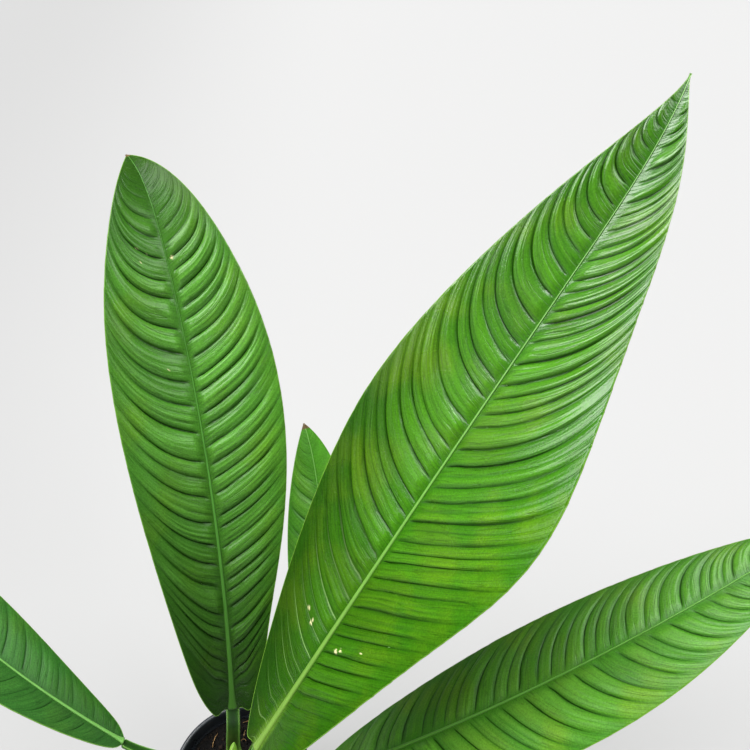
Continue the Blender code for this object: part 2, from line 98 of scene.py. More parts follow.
# Shape of each leaf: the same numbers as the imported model's own blades and stalks. Lengths are in
# metres and angles in degrees. Pairs are for the base and the tip.
#   base     where the blade starts, at the end of its stalk
#   length   of the blade, along its midrib
#   azimuth, rise   direction of the midrib, from +X and from level
#   dip, turn       extra fall and extra swing of the last quarter
#   roll     turn of the blade about its midrib
#   fold     how far the two halves stand up from flat
#   curl     how far their margins come back down, as a share of the half width
#   ears     how far the base's lobes reach back past the stalk
#   drip     how much the drawn-out point of the tip is narrowed, as a share
#   outline  of the left half and the right one: size, how sharply the base rounds (less is rounder),
#            how late the tip narrows, how drawn-out it is, a swell at the middle, a lobe at the base
#   stalk    its width at the foot and the top, then the angle and height where it leaves the stem
LEAVES = {
    "leaf_1": dict(base=(0.0013, 0.0184, 0.1800), length=0.423, azimuth=(91.5, 113.5), rise=(55.5, 52),
                   dip=60, turn=12, roll=(9, -1), fold=18, curl=0.0, ears=0.0105, drip=0.15,
                   outline=((0.0668, 0.562, 4.93, 1.133, 0.0, 0.05),
                            (0.0907, 1.062, 2.97, 1.012, 0.0, 0.11)),
                   stalk=(0.0115, 0.0100, 95, 0.1060)),
    "leaf_2": dict(base=(0.0264, -0.0228, 0.2124), length=0.500, azimuth=(41, 33), rise=(47.5, 54),
                   dip=15, turn=30, roll=(-21, 18), fold=13, curl=0.01, ears=0.0085, drip=0.45,
                   outline=((0.1147, 0.794, 1.95, 1.017, 0.05, 0.02),
                            (0.1212, 0.742, 2.16, 1.108, 0.205, 0.06)),
                   stalk=(0.0120, 0.0095, 329, 0.1110)),
    "leaf_3": dict(base=(0.0671, -0.0187, 0.1447), length=0.409, azimuth=(5, 24), rise=(35.5, 26),
                   dip=18, turn=1, roll=(-5, -4), fold=2, curl=0.08, ears=0.0045, drip=0.40,
                   outline=((0.0654, 0.618, 2.31, 0.919, 0.0, 0.02),
                            (0.0661, 0.566, 2.91, 1.204, 0.0, 0.02)),
                   stalk=(0.0105, 0.0085, 5, 0.1000)),
    "leaf_4": dict(base=(-0.0854, 0.0068, 0.1466), length=0.276, azimuth=(163.5, 137), rise=(40, 24),
                   dip=12, turn=0, roll=(19, 7), fold=13, curl=0.04, ears=0.0025, drip=0.30,
                   outline=((0.0376, 0.546, 4.34, 1.108, 0.0, 0.02),
                            (0.0424, 0.726, 4.65, 1.207, 0.0, 0.03)),
                   stalk=(0.0090, 0.0070, 172, 0.0950)),
    "leaf_5": dict(base=(0.0498, 0.0638, 0.1515), length=0.202, azimuth=(65, 112), rise=(52, 47),
                   dip=12, turn=2, roll=(0, 0), fold=12, curl=0.05, ears=0.0025, drip=0.20,
                   outline=((0.0348, 0.654, 3.23, 0.840, 0.0, 0.02),
                            (0.0360, 0.650, 2.40, 0.776, 0.0, 0.02)),
                   stalk=(0.0080, 0.0060, 50, 0.0930)),
    "leaf_6": dict(base=(-0.0380, -0.0560, 0.1420), length=0.300, azimuth=(236, 250), rise=(38, 16),
                   dip=18, turn=-4, roll=(4, -5), fold=9, curl=0.06, ears=0.0040, drip=0.35,
                   outline=((0.0500, 0.602, 3.40, 1.050, 0.0, 0.02),
                            (0.0490, 0.582, 3.20, 1.030, 0.0, 0.02)),
                   stalk=(0.0095, 0.0075, 238, 0.0970)),
    "leaf_7": dict(base=(0.0250, -0.0620, 0.1400), length=0.330, azimuth=(294, 316), rise=(34, 14),
                   dip=20, turn=3, roll=(-6, 3), fold=8, curl=0.07, ears=0.0040, drip=0.35,
                   outline=((0.0530, 0.594, 3.20, 1.040, 0.0, 0.02),
                            (0.0535, 0.566, 3.40, 1.080, 0.0, 0.02)),
                   stalk=(0.0100, 0.0080, 296, 0.0990)),
}

# How each blade is quilted and coloured. Pairs are for the left half, then the right one.
#   spacing   of the side veins along the midrib; depth of the pillows between them, as a share
#   path      of the veins: forward by half width times (first number times s + second times s cubed)
#   fan       how much more the lowest veins run forward; crowd: how much closer they stand
#   smooth    how far up the blade the quilting starts; calm: where it starts to fade near the tip
#   lean      which way the pillows lean: under 1, their crests lie nearer the base
#   rib       the midrib's width low down and at the tip; rib_tones: its colour there and midway
#   deep, mid, bright, yellow   painted shade and light: greens of the grooves, slopes and crests; yellow: painted glow
#   foot      painted shade: how light the blade is at its stalk, of its middle; end: the same at the tip
#   margin    painted shade: how light its left margin is low down, of its middle
#   pale      strength of the pale veins and of the pale streaks beside the midrib low down
#   wax       gloss level low down and high up; rough: of the cuticle
#   dry       where a dried tip starts: over 1 is none
#   spots     pale marks on the blade: t, s and size in mm
#   grid      rows along the blade and columns across each half
USUAL = dict(smooth=(0.05, 0.05), calm=0.95, lean=(1.0, 1.0), fan=0.0, crowd=0.0, margin=1.0, pale=0.0,
             wax=(0.5, 0.5), rough=0.22, dry=1.1, spots=())
QUILTS = {
    "leaf_1": dict(seed=11, spacing=(0.0172, 0.0138), depth=(1.1, 1.25), path=((0.33, 0.65), (0.45, 0.31)),
                   fan=2.4, crowd=0.5, smooth=(0.02, 0.02), calm=0.78, lean=(0.80, 0.90),
                   rib=(0.0046, 0.0005), foot=0.14, end=0.40, wax=(0.25, 0.5), rough=0.2, dry=0.988,
                   deep="#17400a", mid="#3f7622", bright="#538e30", yellow="#5b9124",
                   rib_tones=("#2c5214", "#4a8430", "#478229"), grid=(500, 42),
                   spots=((0.791, -0.09, 1.0), (0.815, 0.46, 0.5), (0.792, 0.43, 0.6),
                          (0.803, 0.30, 0.5), (0.616, 0.28, 0.6), (0.740, 0.32, 0.5))),
    "leaf_2": dict(seed=29, spacing=(0.0145, 0.0122), depth=(0.9, 1.25), path=((0.27, 0.73), (0.77, 0.22)),
                   smooth=(0.24, 0.10), calm=0.94, lean=(0.95, 0.62), rib=(0.0058, 0.0005), foot=0.46,
                   end=0.95, margin=0.58, pale=0.8, wax=(0.12, 0.95), rough=0.2,
                   deep="#164206", mid="#30680b", bright="#447f14", yellow="#628f10",
                   rib_tones=("#5e7e2c", "#5c9036", "#86b46c"), grid=(610, 48),
                   spots=((0.207, 0.46, 0.9), (0.194, 0.34, 1.0), (0.199, 0.33, 0.6),
                          (0.204, -0.25, 1.6), (0.213, -0.30, 1.0), (0.241, -0.54, 0.5))),
    "leaf_3": dict(seed=37, spacing=(0.0130, 0.0140), depth=(0.75, 0.75), path=((0.35, 0.60), (0.60, 0.35)),
                   rib=(0.0036, 0.0006), foot=0.86, end=0.8, wax=(0.25, 0.40), rough=0.36,
                   deep="#205610", mid="#3a741a", bright="#508a26", yellow="#64921e",
                   rib_tones=("#467c24", "#558f30", "#6aa444"), grid=(470, 39)),
    "leaf_4": dict(seed=41, spacing=(0.0150, 0.0150), depth=(0.3, 0.3), path=((0.45, 0.45), (0.45, 0.45)),
                   rib=(0.0030, 0.0008), foot=0.8, end=0.75, wax=(0.25, 0.25), rough=0.42,
                   deep="#1c4c14", mid="#2c6020", bright="#397028", yellow="#427424",
                   rib_tones=("#639a46", "#609842", "#609842"), grid=(320, 30)),
    "leaf_5": dict(seed=53, spacing=(0.0150, 0.0150), depth=(0.55, 0.55), path=((0.55, 0.4), (0.55, 0.4)),
                   smooth=(0.06, 0.06), calm=0.70, rib=(0.0022, 0.0007), foot=0.90, end=0.95, rough=0.26,
                   dry=0.975, deep="#286218", mid="#4c9028", bright="#64a436", yellow="#6ca430",
                   rib_tones=("#66a540", "#72ae50", "#7ab656"), grid=(250, 27)),
    "leaf_6": dict(seed=67, spacing=(0.0140, 0.0140), depth=(0.8, 0.8), path=((0.4, 0.5), (0.45, 0.4)),
                   calm=0.85, rib=(0.0028, 0.0008), foot=0.6, end=0.9,
                   deep="#205412", mid="#3a7620", bright="#528e2e", yellow="#5e9222",
                   rib_tones=("#52892e", "#5c963a", "#66a044"), grid=(340, 33)),
    "leaf_7": dict(seed=71, spacing=(0.0145, 0.0135), depth=(0.8, 0.8), path=((0.4, 0.5), (0.5, 0.35)),
                   calm=0.85, rib=(0.0030, 0.0008), foot=0.6, end=0.9,
                   deep="#205612", mid="#3e7a22", bright="#569230", yellow="#649622",
                   rib_tones=("#568d30", "#5f9a3c", "#6aa446"), grid=(370, 33)),
}

# Midribs
RIB_ROWS = 260
RIB_SIDES = 20
RIB_END = 0.996                 # it stops just short of the blade's tip
RIB_TAPER = 2.2                 # power by which it thins towards the tip
RIB_SPREAD = 0.016              # over how much of the blade it widens into the stalk, as a share
RIB_CROWN = (0.22, 0.0003)      # how far it stands out above: a share of its width, plus metres
RIB_KEEL = (0.55, 0.0006)       # and below
RIB_DEEPEST = 0.0034
RIB_LIFT = 0.0003               # how far all of it is raised, so that it breaks the blade's surface

# Stem and stalks
CROWN = np.array((-0.005, 0.0, 0.0))    # the stem's axis
STEM_R = 0.009
RING_GAP = 0.0044               # between the rings that old leaves left on the stem
FIRST_RING = 0.088              # height of one of them
STALK_ROWS = 120
STALK_SIDES = 48
STALK_START = (0.35, 0.75)      # the way a stalk leaves the stem: outwards and up
STALK_HANDLES = (0.30, 0.34)    # how far its curve keeps to its first and last way, of its span
SHEATH_FLARE = 0.18             # how much wider a stalk's foot clasps the stem
SHEATH_REACH = 0.07             # over how much of the stalk, as a share
FACE_RISE = 0.62                # the upper side of a stalk stands out less than its underside
CHANNEL_DEPTH = 0.34            # of the channel along the upper side, in the same measure
EDGE_RISE = 0.12                # of the two edges beside the channel
EDGE_PLACE = 0.86               # how far out the edges run, as a share of the half width
EDGE_SPREAD = 0.09

# Rolled new leaf
ROLL_R = 0.0034
ROLL_TURN = 1.6                 # radians that its free edge winds round from foot to tip

# Pot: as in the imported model
POT_WALL = 0.0012
WALL_LOW = (0.0380, 0.003)      # inside radius of the tapering wall at the floor, and its height
WALL_HIGH = (0.0490, 0.086)     # the same where the wider collar begins
FOOT_R = (0.0325, 0.0385)       # inside and outside of the standing ring
PAD_R = 0.0126                  # flat pad in the middle of the base
CHANNEL_RISE = 0.0016           # the base between pad and ring stands clear of the table
DRAIN_HOLES = 8
DRAIN_HOLE_R = 0.0038
DRAIN_CIRCLE_R = 0.0225
DRAIN_HOLE_TURN = 0.42          # of a hole's share of the circle
DRAIN_NOTCHES = 4
NOTCH_TURN = 0.03
NOTCH_SIZE = (0.013, 0.006, 0.0009)     # length outwards, width and height
NOTCH_START_R = 0.029

# Soil
SOIL_LEVEL = 0.086              # height of the soil against the pot's wall
SOIL_CROWN = 0.0015             # how much it rises towards the middle
SOIL_GAP = 0.0004               # between soil and wall
SOIL_LUMPS = ((0.0010, 0.0052, 81), (0.0006, 0.0021, 82), (0.0003, 0.0009, 83))     # height, size, seed
SCATTER_R = 0.0465              # how far out loose crumbs and fibres lie


# ---- numbers -------------------------------------------------------------------------------------

def ease(x, low, high):
    """0 below low, 1 above high, and a smooth S between."""
    x = np.clip((x - low) / (high - low), 0.0, 1.0)
    return x * x * (3.0 - 2.0 * x)


def ripple(x, y, seed):
    """Smooth uneven heights from -1 to 1: random values on a unit lattice, blended with an S curve."""
    lattice = np.random.default_rng(seed).uniform(-1.0, 1.0, (128, 128))
    column, row = np.floor(x).astype(int), np.floor(y).astype(int)
    a, b = ease(x - column, 0.0, 1.0), ease(y - row, 0.0, 1.0)
    low = lattice[column % 128, row % 128] * (1 - a) + lattice[(column + 1) % 128, row % 128] * a
    high = (lattice[column % 128, (row + 1) % 128] * (1 - a)
            + lattice[(column + 1) % 128, (row + 1) % 128] * a)
    return low * (1 - b) + high * b


def unit(vectors):
    """Each vector at length 1."""
    return vectors / np.maximum(np.linalg.norm(vectors, axis=-1, keepdims=True), 1e-12)


# ---- meshes --------------------------------------------------------------------------------------

def add_piece(name, points, faces, look, replaces=(), sharp=None):
    """Makes a shaded piece that rides on the one body and stands for the named model nodes."""
    mesh = bpy.data.meshes.new(name)
    mesh.from_pydata(np.asarray(points).reshape(-1, 3).tolist(), [], faces)
    mesh.update()
    mesh.shade_smooth()
    if sharp is not None:
        mesh.set_sharp_from_angle(angle=math.radians(sharp))
    mesh.materials.append(look)
    piece = bpy.data.objects.new(name, mesh)
    bpy.context.scene.collection.objects.link(piece)
    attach(piece, "root")
    if replaces:
        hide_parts(*replaces)
    return piece


def set_vectors(piece, name, x, y, z):
    """Writes three numbers for each point of a piece, for its finish to read."""
    values = np.stack([np.broadcast_to(v, x.shape) for v in (x, y, z)], axis=-1)
    made = piece.data.attributes.new(name, "FLOAT_VECTOR", "POINT")
    made.data.foreach_set("vector", values.astype(np.float32).ravel())


def quads(rows, columns, start=0, around=False, flip=False):
    """Faces of a grid of points numbered row by row. They face along the rows' direction crossed with
    the columns'."""
    last = columns if around else columns - 1
    i, j = np.meshgrid(np.arange(rows - 1), np.arange(last), indexing="ij")
    k = (j + 1) % columns
    corners = [i * columns + j, (i + 1) * columns + j, (i + 1) * columns + k, i * columns + k]
    if flip:
        corners.reverse()
    return (np.stack(corners, axis=-1).reshape(-1, 4) + start).tolist()


def tube(rings):
    """Points and faces of a closed skin over rings of points, shape (rings, round, 3), ends capped.
    The rings run anticlockwise seen from the last ring's end."""
    count, around = rings.shape[:2]
    faces = quads(count, around, around=True, flip=True)
    faces.append(list(range(around - 1, -1, -1)))
    faces.append(list(range((count - 1) * around, count * around)))
    return rings.reshape(-1, 3), faces


def rounded(profile, radius, steps=4):
    """A profile with each inner corner swapped for a short curve: start, corner and end blended."""
    profile = np.array(profile)
    points = [profile[0]]
    share = np.linspace(0.0, 1.0, steps)[:, None]
    for before, corner, after in zip(profile, profile[1:], profile[2:]):
        back, ahead = before - corner, after - corner
        back_length, ahead_length = np.linalg.norm(back), np.linalg.norm(ahead)
        a = corner + back * min(radius, 0.45 * back_length) / back_length
        b = corner + ahead * min(radius, 0.45 * ahead_length) / ahead_length
        points.extend((1 - share) ** 2 * a + 2 * share * (1 - share) * corner + share ** 2 * b)
    points.append(profile[-1])
    return np.array(points)


def turned(centres, radii, heights, steps):
    """Points and faces of rings round upright axes, from a first pole to a last one: each ring is its
    centre plus radius times (cos, sin) of the angle. Heights may differ round a ring."""
    angle = np.linspace(0.0, 2 * math.pi, steps, endpoint=False)
    x = centres[:, :1] + radii[:, None] * np.cos(angle)
    y = centres[:, 1:2] + radii[:, None] * np.sin(angle)
    z = np.broadcast_to(heights, x.shape)
    rings = np.stack([x, y, z], axis=-1)[1:-1]
    poles = [(*centres[0, :2], np.mean(heights[0])), (*centres[-1, :2], np.mean(heights[-1]))]
    count = len(rings)
    faces = quads(count, steps, around=True)
    first, last = count * steps, count * steps + 1
    for j in range(steps):
        k = (j + 1) % steps
        faces.append([first, j, k])
        faces.append([last, (count - 1) * steps + k, (count - 1) * steps + j])
    return np.vstack([rings.reshape(-1, 3), poles]), faces


# ---- materials -----------------------------------------------------------------------------------

# Settings of the nodes that come most often.
SMOOTH = {"interpolation_type": "SMOOTHSTEP"}
TIMES = {"operation": "MULTIPLY"}
TIMES_PLUS = {"operation": "MULTIPLY_ADD"}
SIZE_ONLY = {"operation": "ABSOLUTE"}
BLEND = {"data_type": "RGBA"}

SKIN_IOR = 1.42                 # firm plant skin
WAXY_IOR = 1.46                 # cuticle with wax on it
SHINES_THROUGH = 0.14           # share of the light that a blade lets through
PATCH_MM = 38.5                 # patches on a blade: randomly lighter and darker, and where the painted glow shows on crests
CELL_MM = 1.053                 # finest grain of a blade: real cells are far too fine to show
CREASE_MM = 0.75                # half width of the crease on a side vein, dark with painted shade
FINE_GAP_MM = 2.8               # between the finer creases that run beside the veins
LINE_GAP_MM = 1.2               # between the finest lines
FINE_STRETCH = 0.022            # cycles of the finer creases per mm along a vein, so they run long
LINE_STRETCH = 0.06
DRY_FADE = 0.004                # how sharply a dried tip starts, as a share of the blade's length
DRIED = "#6e5c3e"


def paint(hexed):
    """An sRGB hex colour as linear light."""
    parts = [int(hexed[i:i + 2], 16) / 255 for i in (1, 3, 5)]
    return (*[p / 12.92 if p <= 0.04045 else ((p + 0.055) / 1.055) ** 2.4 for p in parts], 1.0)


def per_metre(size_mm):
    """How often a pattern of this size comes in a metre."""
    return 1.0 / (size_mm * MM)


def feed(tree, node, inputs):
    """Sets a node's inputs, and links those given as sockets. A list fills them in order."""
    for name, value in inputs.items() if isinstance(inputs, dict) else enumerate(inputs):
        if isinstance(value, bpy.types.NodeSocket):
            tree.links.new(value, node.inputs[name])
        else:
            node.inputs[name].default_value = value


def add(tree, kind, settings, inputs, out=0):
    """Adds a node with its settings and inputs, and gives one output. Stops are a colour ramp's."""
    node = tree.nodes.new("ShaderNode" + kind)
    for name, value in settings.items():
        if name == "stops":
            elements = node.color_ramp.elements
            for place, colour in value[1:-1]:
                elements.new(place).color = paint(colour)
            elements[0].position, elements[0].color = value[0][0], paint(value[0][1])
            elements[-1].position, elements[-1].color = value[-1][0], paint(value[-1][1])
        else:
            setattr(node, name, value)
    feed(tree, node, inputs)
    return node.outputs[out]


def read_vectors(tree, name):
    """The three numbers that set_vectors wrote under a name, one by one and then as one vector."""
    together = add(tree, "Attribute", {"attribute_name": name}, {}, "Vector")
    return [*add(tree, "SeparateXYZ", {}, [together]).node.outputs, together]


def new_look(name):
    """An empty material: its tree, its Principled shader, its output node and places on the object."""
    made = bpy.data.materials.new(name)
    made.use_nodes = True
    tree = made.node_tree
    where = add(tree, "TexCoord", {}, {}, "Object")
    return made, tree, tree.nodes["Principled BSDF"], tree.nodes["Material Output"], where


def blade_look(name, tones):
    """Leaf blade: living leaf under a thin waxy cuticle, IOR 1.46. It gives a satin surface with
    broad soft highlights, fine lines along the side veins, and some light that comes through."""
    made, tree, shader, end, where = new_look(name + "_waxy_blade")
    t, s, edge, _ = read_vectors(tree, "leaf_place")
    crest, groove, under, _ = read_vectors(tree, "leaf_relief")
    count, out_mm, _, grain = read_vectors(tree, "vein_grain")
    patches = add(tree, "TexNoise", {}, {"Vector": where, "Scale": per_metre(PATCH_MM), "Detail": 3.0})
    cells = add(tree, "TexNoise", {}, {"Vector": where, "Scale": per_metre(CELL_MM), "Detail": 1.0})

    # A vein's crease lies where the count of veins is whole. Low down on the left half it is pale on
    # a young blade, and elsewhere dark with painted shade.
    spacing_mm = sum(tones["spacing"]) / 2 / MM
    away = add(tree, "Math", {"operation": "PINGPONG"}, [count, 0.5])
    crease = add(tree, "MapRange", SMOOTH, [away, 0.0, CREASE_MM / spacing_mm, 1.0, 0.0])
    crease = add(tree, "Math", TIMES, [crease, groove])
    pale = add(tree, "MapRange", SMOOTH, [t, 0.14, 0.40, tones["pale"], 0.0])
    pale = add(tree, "Math", TIMES, [pale, add(tree, "Math", {"operation": "GREATER_THAN"}, [s, 0.0])])
    shaded = add(tree, "Math", TIMES, [crease, add(tree, "Math", {"operation": "SUBTRACT"}, [1.0, pale])])
    pale = add(tree, "Math", TIMES, [crease, pale])

    # Finer creases lie where a noise stretched along the veins crosses its middle; painted shade darkens
    # them.
    loose = add(tree, "Mapping", {},
                {"Vector": grain, "Scale": (spacing_mm / FINE_GAP_MM, FINE_STRETCH, 1.0)})
    loose = add(tree, "TexNoise", {}, {"Vector": loose, "Scale": 1.0, "Detail": 1.0})
    loose = add(tree, "Math", SIZE_ONLY, [add(tree, "Math", {"operation": "SUBTRACT"}, [loose, 0.5])])
    fine = add(tree, "MapRange", SMOOTH, [loose, 0.0, 0.036, 1.0, 0.0])
    lines = add(tree, "Mapping", {},
                {"Vector": grain, "Scale": (spacing_mm / LINE_GAP_MM, LINE_STRETCH, 1.0)})
    lines = add(tree, "TexNoise", {}, {"Vector": lines, "Scale": 1.0, "Detail": 3.0, "Roughness": 0.6})

    # Painted shade and light: green goes from dark in the grooves to light on the crests, and a painted
    # glow of light coming through turns crests yellower in patches away from the midrib.
    stops = [(0.0, tones["deep"]), (0.42, tones["mid"]), (1.0, tones["bright"])]
    tone = add(tree, "ValToRGB", {"stops": stops}, [crest])
    outer = add(tree, "MapRange", SMOOTH, [add(tree, "Math", SIZE_ONLY, [s]), 0.2, 0.9, 0.35, 1.0])
    painted_glow = add(tree, "MapRange", SMOOTH, [patches, 0.43, 0.67, 0.0, 1.0])
    for share in (outer, crest):
        painted_glow = add(tree, "Math", TIMES, [painted_glow, share])
    tone = add(tree, "Mix", BLEND, {0: painted_glow, 6: tone, 7: paint(tones["yellow"])}, 2)

    # Painted shade: darker towards the stalk, at the left margin below three quarters, and in the creases
    # and finer creases. Also darker towards the tip.
    low_down = add(tree, "MapRange", SMOOTH, [t, 0.45, 0.75, -1.0, 0.0])
    left = add(tree, "MapRange", SMOOTH, [s, 0.10, 0.95, 0.0, 1.0 - tones["margin"]])
    shades = [add(tree, "MapRange", SMOOTH, [t, 0.76, 0.96, 1.0, tones["end"]])]
    for source, low, high in ((lines, 0.89, 1.13), (cells, 0.80, 1.20), (patches, 1.14, 0.88)):
        shades.append(add(tree, "MapRange", {}, [source, 0.25, 0.75, low, high]))
    for source, share in ((left, low_down), (shaded, -0.80), (fine, -0.26)):
        shades.append(add(tree, "Math", TIMES_PLUS, [source, share, 1.0]))
    level = add(tree, "MapRange", SMOOTH, [t, -0.05, 0.62, tones["foot"], 1.0])
    for shade in shades:
        level = add(tree, "Math", TIMES, [level, shade])
    tone = add(tree, "HueSaturation", {}, {"Color": tone, "Value": level})

    # A young blade is paler for 8 mm beside the midrib low down, in streaks.
    beside = add(tree, "MapRange", SMOOTH, [out_mm, 1.5, 8.0, 0.8, 0.0])
    for share in (add(tree, "MapRange", SMOOTH, [t, 0.0, 0.14, tones["pale"], 0.0]), lines):
        beside = add(tree, "Math", TIMES, [beside, share])
    rim = add(tree, "MapRange", SMOOTH, [edge, 0.15, 0.7, 0.7, 0.0])
    spots = add(tree, "Attribute", {"attribute_name": "blemish"}, {}, "Fac")
    dried = add(tree, "MapRange", {}, [t, tones["dry"], tones["dry"] + DRY_FADE])
    for share, colour in ((pale, "#a8d47c"), (beside, "#8cb840"), (rim, "#7aa83e"),
                          (under, "#6f9c52"), (spots, "#e6dfa6"), (dried, DRIED)):
        tone = add(tree, "Mix", BLEND, {0: share, 6: tone, 7: paint(colour)}, 2)

    rough = add(tree, "MapRange", {}, [patches, 0.3, 0.7, tones["rough"], tones["rough"] + 0.1])
    rough = add(tree, "Math", TIMES_PLUS, [under, 0.15, rough])
    # Relief that is too fine for the mesh.
    relief_mm = 0.0
    for source, height_mm in ((crease, -0.24), (fine, -0.11), (lines, 0.05)):
        relief_mm = add(tree, "Math", TIMES_PLUS, [source, height_mm, relief_mm])
    bump = add(tree, "Bump", {}, {"Height": relief_mm, "Strength": 1.0, "Distance": MM})
    bump = add(tree, "Bump", {}, {"Height": cells, "Strength": 1.0, "Distance": 0.11 * MM, "Normal": bump})

    # Wax is worn near the tip, and thin in the creases and on the right margin's lower part.
    wax = add(tree, "MapRange", SMOOTH, [t, 0.25, 0.75, *tones["wax"]])
    right = add(tree, "MapRange", SMOOTH, [s, -0.45, -0.95, 0.0, 0.75])
    for share in (add(tree, "MapRange", SMOOTH, [t, tones["calm"], tones["calm"] + CALM_FADE, 1.0, 0.35]),
                  add(tree, "Math", TIMES_PLUS, [right, low_down, 1.0]),
                  add(tree, "Math", TIMES_PLUS, [shaded, -0.75, 1.0])):
        wax = add(tree, "Math", TIMES, [wax, share])
    feed(tree, shader, {"Base Color": tone, "Roughness": rough, "Normal": bump,
                        "Specular IOR Level": wax, "IOR": WAXY_IOR})
    glow = add(tree, "BsdfTranslucent", {}, {"Color": tone, "Normal": bump})
    both = add(tree, "MixShader", {}, [SHINES_THROUGH, shader.outputs[0], glow])
    feed(tree, end, {"Surface": both})
    return made


def rib_look(name, tones):
    """Midrib: firm pale leaf tissue under the same cuticle, with fine lines along it, and painted shade
    that darkens its sides, where it meets the blade."""
    made, tree, shader, _, _ = new_look(name + "_midrib_skin")
    t, side, under, place = read_vectors(tree, "rib_place")
    tone = add(tree, "ValToRGB", {"stops": list(zip((0.0, 0.45, 1.0), tones["rib_tones"]))}, [t])
    lines = add(tree, "Mapping", {}, {"Vector": place, "Scale": (30.0, 3.0, 1.0)})
    lines = add(tree, "TexNoise", {}, {"Vector": lines, "Scale": 1.0, "Detail": 2.0})
    # Painted shade: the rib's sides are darker where it meets the blade.
    shade = add(tree, "MapRange", SMOOTH, [add(tree, "Math", SIZE_ONLY, [side]), 0.55, 1.0, 1.0, 0.62])
    level = add(tree, "MapRange", {}, [lines, 0.3, 0.7, 0.86, 1.12])
    level = add(tree, "Math", TIMES, [level, shade])
    tone = add(tree, "HueSaturation", {}, {"Color": tone, "Value": level})
    dried = add(tree, "MapRange", {}, [t, tones["dry"], tones["dry"] + DRY_FADE])
    for share, colour in ((under, "#7fa85c"), (dried, DRIED)):
        tone = add(tree, "Mix", BLEND, {0: share, 6: tone, 7: paint(colour)}, 2)
    bump = add(tree, "Bump", {}, {"Height": lines, "Strength": 0.4, "Distance": 0.2 * MM})
    feed(tree, shader, {"Base Color": tone, "Normal": bump, "Roughness": 0.42, "IOR": SKIN_IOR})
    return made


def stalk_look():
    """Leaf stalk: smooth firm green skin, darker inside its channel, with two thin pale edges. Fine
    lines run up it, 1.1 mm apart."""
    made, tree, shader, _, where = new_look("smooth_stalk_skin")
    share, edge, channel, _ = read_vectors(tree, "stalk_place")
    lines = add(tree, "Mapping", {},
                {"Vector": where, "Scale": (per_metre(1.11), per_metre(1.11), per_metre(16.7))})
    lines = add(tree, "TexNoise", {}, {"Vector": lines, "Scale": 1.0, "Detail": 2.0})
    stops = [(0.0, "#8a9a4a"), (0.12, "#4f7d26"), (0.55, "#2a5a12"), (1.0, "#2c6010")]
    tone = add(tree, "ValToRGB", {"stops": stops}, [share])
    for part, colour in ((channel, "#163c06"), (edge, "#6c9840")):
        tone = add(tree, "Mix", BLEND, {0: part, 6: tone, 7: paint(colour)}, 2)
    level = add(tree, "MapRange", {}, [lines, 0.3, 0.7, 0.84, 1.14])
    tone = add(tree, "HueSaturation", {}, {"Color": tone, "Value": level})
    bump = add(tree, "Bump", {}, {"Height": lines, "Strength": 0.3, "Distance": 0.2 * MM})
    feed(tree, shader, {"Base Color": tone, "Normal": bump, "Roughness": 0.40, "IOR": SKIN_IOR})
    return made


def stem_look():
    """Stem: corky green-brown skin, rough, paler and papery on the rings that old leaves left."""
    made, tree, shader, _, where = new_look("corky_stem_skin")
    ring = read_vectors(tree, "stem_place")[0]
    specks = add(tree, "TexNoise", {}, {"Vector": where, "Scale": per_metre(1.92), "Detail": 4.0})
    stops = [(0.25, "#3f4a1c"), (0.5, "#6c7436"), (0.75, "#8d8550")]
    tone = add(tree, "ValToRGB", {"stops": stops}, [specks])
    tone = add(tree, "Mix", BLEND, {0: ring, 6: tone, 7: paint("#7a5a3a")}, 2)
    bump = add(tree, "Bump", {}, {"Height": specks, "Strength": 0.6, "Distance": 0.6 * MM})
    feed(tree, shader, {"Base Color": tone, "Normal": bump, "Roughness": 0.72})
    return made


def new_leaf_look():
    """Rolled new leaf: young skin, pale yellow-green and glossier than the old leaves."""
    made, tree, shader, _, where = new_look("young_leaf_skin")
    share, seam, _, _ = read_vectors(tree, "roll_place")
    lines = add(tree, "TexNoise", {}, {"Vector": where, "Scale": per_metre(1.43), "Detail": 2.0})
    stops = [(0.0, "#8aa23a"), (0.5, "#7fae36"), (1.0, "#6da030")]
    tone = add(tree, "ValToRGB", {"stops": stops}, [share])
    tone = add(tree, "Mix", BLEND, {0: seam, 6: tone, 7: paint("#b6cf78")}, 2)
    level = add(tree, "MapRange", {}, [lines, 0.3, 0.7, 0.88, 1.1])
    tone = add(tree, "HueSaturation", {}, {"Color": tone, "Value": level})
    feed(tree, shader, {"Base Color": tone, "Roughness": 0.36, "IOR": SKIN_IOR})
    return made


def pot_look():
    """Nursery pot: black polypropylene, injection moulded, IOR 1.49. It gives a satin near-black that
    catches bluish-grey light on the rolled rim, with dust in soft patches and fine scuffs."""
    made, tree, shader, _, where = new_look("moulded_polypropylene")
    dust = add(tree, "TexNoise", {}, {"Vector": where, "Scale": per_metre(16.7), "Detail": 5.0})
    grit = add(tree, "TexNoise", {}, {"Vector": where, "Scale": per_metre(0.667), "Detail": 2.0})
    stops = [(0.35, "#1a1d21"), (0.62, "#24282d"), (0.8, "#33383e")]
    tone = add(tree, "ValToRGB", {"stops": stops}, [dust])
    rough = add(tree, "MapRange", {}, [dust, 0.3, 0.7, 0.22, 0.40])
    bump = add(tree, "Bump", {}, {"Height": grit, "Strength": 0.25, "Distance": 0.1 * MM})
    feed(tree, shader, {"Base Color": tone, "Roughness": rough, "Normal": bump, "IOR": 1.49})
    return made


